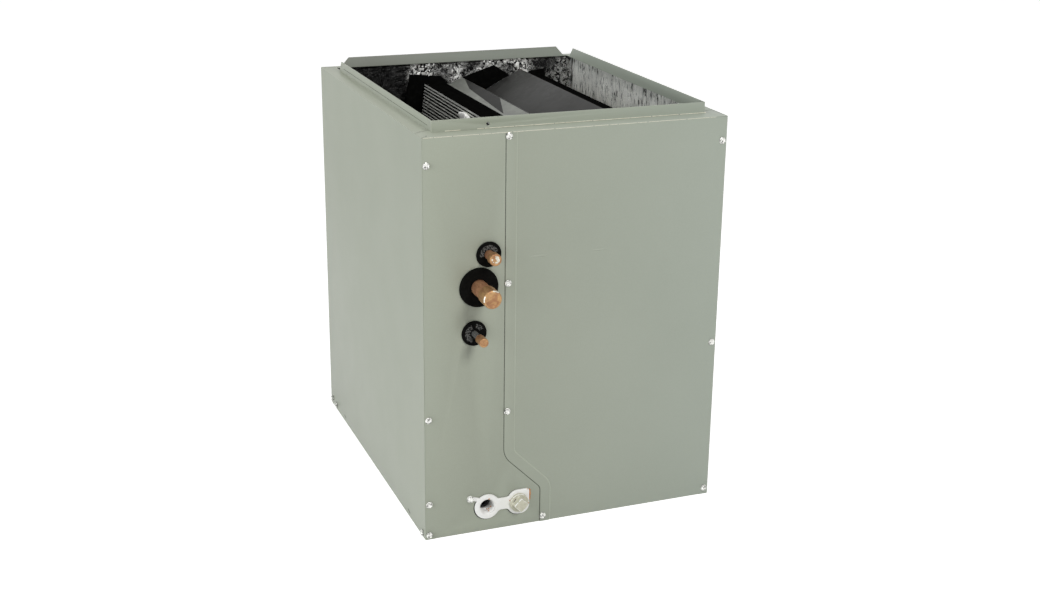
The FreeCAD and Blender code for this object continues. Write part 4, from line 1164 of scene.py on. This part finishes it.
def make_board(name, node, facing, finish, shown_top_mm):
    """An insulation board whose inner face is crumpled foil, pressed in, never proud."""
    low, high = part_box(node)
    draw = random.Random(len(name) * 13)
    side, out = (1, 0) if facing.x else (0, 1)
    back, face = sorted((low[out], high[out]), key=lambda level: level * facing[out])
    span = high[side] - low[side]
    columns = max(8, round(span / (FOIL_STEP_MM * MM)))
    squeeze = 0.28 if finish == "streaked_foil" else 1.0
    levels = []
    level = high.z
    while level > low.z + 1 * MM:
        levels.append(level)
        level -= (FOIL_STEP_MM if high.z - level < shown_top_mm * MM else 14.0) * MM
    levels.append(low.z)

    def depth(place):
        point = Vector((place[side] / MM, place.z / MM * squeeze, 5.0 * len(name)))
        level = 1.2 + noise.noise(point * 0.028) + 0.55 * noise.noise(point * 0.21)
        level += 2.1 * abs(noise.noise(point * 0.085 + Vector((9, 0, 0))))
        return max(0.0, min(3.4, level + draw.uniform(-0.22, 0.22)))

    def build(work):
        rows = []
        for height in levels:
            row = []
            for column in range(columns + 1):
                place = Vector((0, 0, height))
                place[side] = low[side] + span * column / columns
                place[out] = face
                if height not in (levels[0], levels[-1]) and 0 < column < columns:
                    place[side] += draw.uniform(-0.9, 0.9) * MM
                    place.z += draw.uniform(-0.9, 0.9) * MM
                    place[out] -= facing[out] * depth(place) * MM
                row.append(place)
            rows.append(row)
        rim = rows[0] + [row[-1] for row in rows[1:-1]] + rows[-1][::-1]
        rim += [row[0] for row in rows[-2:0:-1]]
        behind = [point.copy() for point in rim]
        for point in behind:
            point[out] = back
        loft(work, rows, closed=False)
        work.faces.new(loft(work, [rim, behind])[0][1])
        bmesh.ops.triangulate(work, faces=work.faces, quad_method="SHORT_EDGE")

    add_piece(name, build, (finish,), node, slot="foil")


def make_boards():
    make_board("left_board", "left_insulation", RIGHT, "shaded_foil", 150)
    make_board("right_board", "right_insulation", -RIGHT, "streaked_foil", 170)
    make_board("rear_board", "rear_insulation", -BACK, "foil", 150)
    make_board("front_board", "front_insulation", BACK, "foil", 60)


# Thin trims

def make_highlight_lines():
    """Painted highlights: pale dashed stretches along the front bends, and two pale upright corner
    lines.
    """
    draw = random.Random(21)
    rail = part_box("front_top_rail")[0]
    low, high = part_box("casing_wrapper")

    def build(work):
        for depth, rise, share, size, margin in ((0.15, -0.8, 0.95, 0.5, 2),
                                                 (27.2, 0.4, 0.85, 0.55, 24)):
            start = Vector((low.x + margin * MM, rail.y + depth * MM, (LEDGE_MM + rise) * MM))
            while start.x < high.x - 20 * MM:
                run = draw.uniform(8, 42) * MM
                if draw.random() < share:
                    end = Vector((min(start.x + run, high.x - 18 * MM), start.y, start.z))
                    thin_bar(work, start, end, (BACK, UP), size)
                start.x += run + draw.uniform(0.4, 2) * MM

    def build_corners(work):
        foot = Vector((low.x + 0.3 * MM, low.y + 0.3 * MM, 2 * MM))
        thin_bar(work, foot, Vector((foot.x, foot.y, (LEDGE_MM - 1) * MM)), (RIGHT, BACK), 0.35)
        foot = Vector((low.x + 22.3 * MM, rail.y + 27.3 * MM, (LEDGE_MM + 0.5) * MM))
        thin_bar(work, foot, Vector((foot.x, foot.y, high.z - 0.5 * MM)), (RIGHT, BACK), 0.45)

    add_piece("bend_highlights", build, ("bend_highlight_paint",))
    add_piece("corner_highlights", build_corners, ("highlight_paint",), slot="painted_steel")


def make_dark_lines():
    """Gaps between the folded lips, the line at the flange's foot, and the side slots, drawn as flat
    dark marks that are painted shade for their hollows.
    """
    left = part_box("casing_wrapper")[0].x
    ledge_lines = ((((428.6, 40.8), (438, 42.6), (443, 42.9), (443.8, 17)), 0.9),
                   (((1, 539), (22, 527)), 0.9), (((1, 30), (21, 42)), 0.8),
                   (((1.5, 3), (8, 6), (10, 12)), 0.9))

    def at(x, y, z):
        return Vector((left + x * MM, panel_front + y * MM, z * MM))

    def build(work):
        for points, width in ledge_lines:
            flat_line(work, [at(x, y, LEDGE_MM) for x, y in points], UP, width)
        flat_line(work, [at(22, y, LEDGE_MM + 6) for y in (46, 478)], -RIGHT, 0.8)
        for y, z in ((444, 8.8), (80, 7.8)):
            flat_line(work, [at(0, y - 5, z - 1.2), at(0, y + 5, z + 1.2)], -RIGHT, 2.4)

    add_piece("fold_gaps", build, ("joint_grime_and_shade",))


# Floor, lights and camera

def seen_by(owner, *ways):
    """1 for the given kinds of ray and 0 for the others."""
    seen = add_node(owner, "LightPath", {}, ways[0])
    for way in ways[1:]:
        other = add_node(owner, "LightPath", {}, way)
        seen = add_node(owner, "Math", {0: seen, 1: other}, operation="MAXIMUM")
    return seen


def make_floor():
    """A pale floor that shows white to the camera and keeps the object's shadow."""
    material = new_material("floor", (0.8, 0.8, 0.8), 0.9)
    seen = seen_by(material, "Is Camera Ray", "Is Glossy Ray")
    level = add_node(material, "Math", {0: seen, 1: FLOOR_GLOW}, operation="MULTIPLY")
    there = material.node_tree.nodes
    both = add_node(material, "AddShader", {0: there["Principled BSDF"].outputs[0],
                                            1: add_node(material, "Emission", {"Strength": level})})
    set_inputs(material, there["Material Output"], {"Surface": both})
    mesh = bpy.data.meshes.new("floor")
    size = 20
    mesh.from_pydata([(-size, -size, 0), (size, -size, 0), (size, size, 0), (-size, size, 0)],
                     [], [(0, 1, 2, 3)])
    mesh.materials.append(material)
    link("floor", mesh)


def make_world():
    """White to the camera, and a soft even light on the object."""
    world = bpy.data.worlds.new("studio")
    world.use_nodes = True
    seen = seen_by(world, "Is Camera Ray", "Is Transmission Ray", "Is Glossy Ray")
    strength = add_node(world, "MapRange", {"Value": seen, "To Min": WORLD_LIGHT, "To Max": 1.0})
    set_inputs(world, world.node_tree.nodes["Background"],
               {"Color": (1, 1, 1, 1), "Strength": strength})
    bpy.context.scene.world = world


def make_lamp(name, place, target, size, power, tint=(1, 1, 1)):
    data = bpy.data.lights.new(name, "AREA")
    data.shape = "RECTANGLE"
    data.size, data.size_y = size
    data.energy = power
    data.color = tint
    lamp = link(name, data)
    lamp.location = place
    lamp.rotation_euler = (Vector(target) - Vector(place)).to_track_quat("-Z", "Y").to_euler()


def make_camera():
    data = bpy.data.cameras.new("camera")
    data.sensor_width = SENSOR_WIDTH
    data.lens = FOCAL_PIXELS * SENSOR_WIDTH / PICTURE_WIDTH
    data.clip_start = 0.05
    data.clip_end = 60
    azimuth = math.radians(CAMERA_AZIMUTH)
    elevation = math.radians(CAMERA_ELEVATION)
    view = Vector((-math.sin(azimuth) * math.cos(elevation),
                   math.cos(azimuth) * math.cos(elevation), -math.sin(elevation)))
    camera = link("camera", data)
    camera.rotation_mode = "QUATERNION"
    roll = Matrix.Rotation(math.radians(CAMERA_ROLL), 4, "Z").to_quaternion()
    camera.rotation_quaternion = view.to_track_quat("-Z", "Y") @ roll
    camera.location = CAMERA_PLACE
    bpy.context.scene.camera = camera


# Everything in its order

panel_front = middle("line_panel").y - GAUGE_MM * MM / 2
plug = middle("drain_plug")
ports = (Vector((plug.x - PORT_SPACING_MM * MM, plug.z)), Vector((plug.x, plug.z)))
slot_of = {sub["node"]: sub["material_slot"] for sub in frame["record"]["subparts"]}

make_materials()
for node, thing in nodes.items():
    thing.data.materials.clear()
    thing.data.materials.append(materials[slot_of[node]])
make_casing()
make_access_panel()
make_seam_shadow()
make_creases()
make_screws()
make_lines()
make_port_plate()
make_plug()
make_sealant_beads()
make_fin_pack("left_fins", "left_fin_pack", 1)
make_fin_pack("right_fins", "right_fin_pack", -1)
make_clip()
make_coil_plates()
make_end_cap()
make_plate_screw()
make_tubes()
make_boards()
make_highlight_lines()
make_dark_lines()

make_floor()
make_world()
make_lamp("key", (0.42, -2.5, 2.1), (0, 0, 0.3), (0.8, 0.8), 41)
make_lamp("fill", (-3.0, -0.9, 0.9), (0, 0, 0.3), (2.4, 2.0), 47, (0.96, 1.0, 1.03))
make_lamp("top", (-0.7, 0.3, 2.6), (0, 0, 0.4), (1.2, 1.2), 18)
make_camera()
bpy.context.scene.view_settings.view_transform = "Standard"
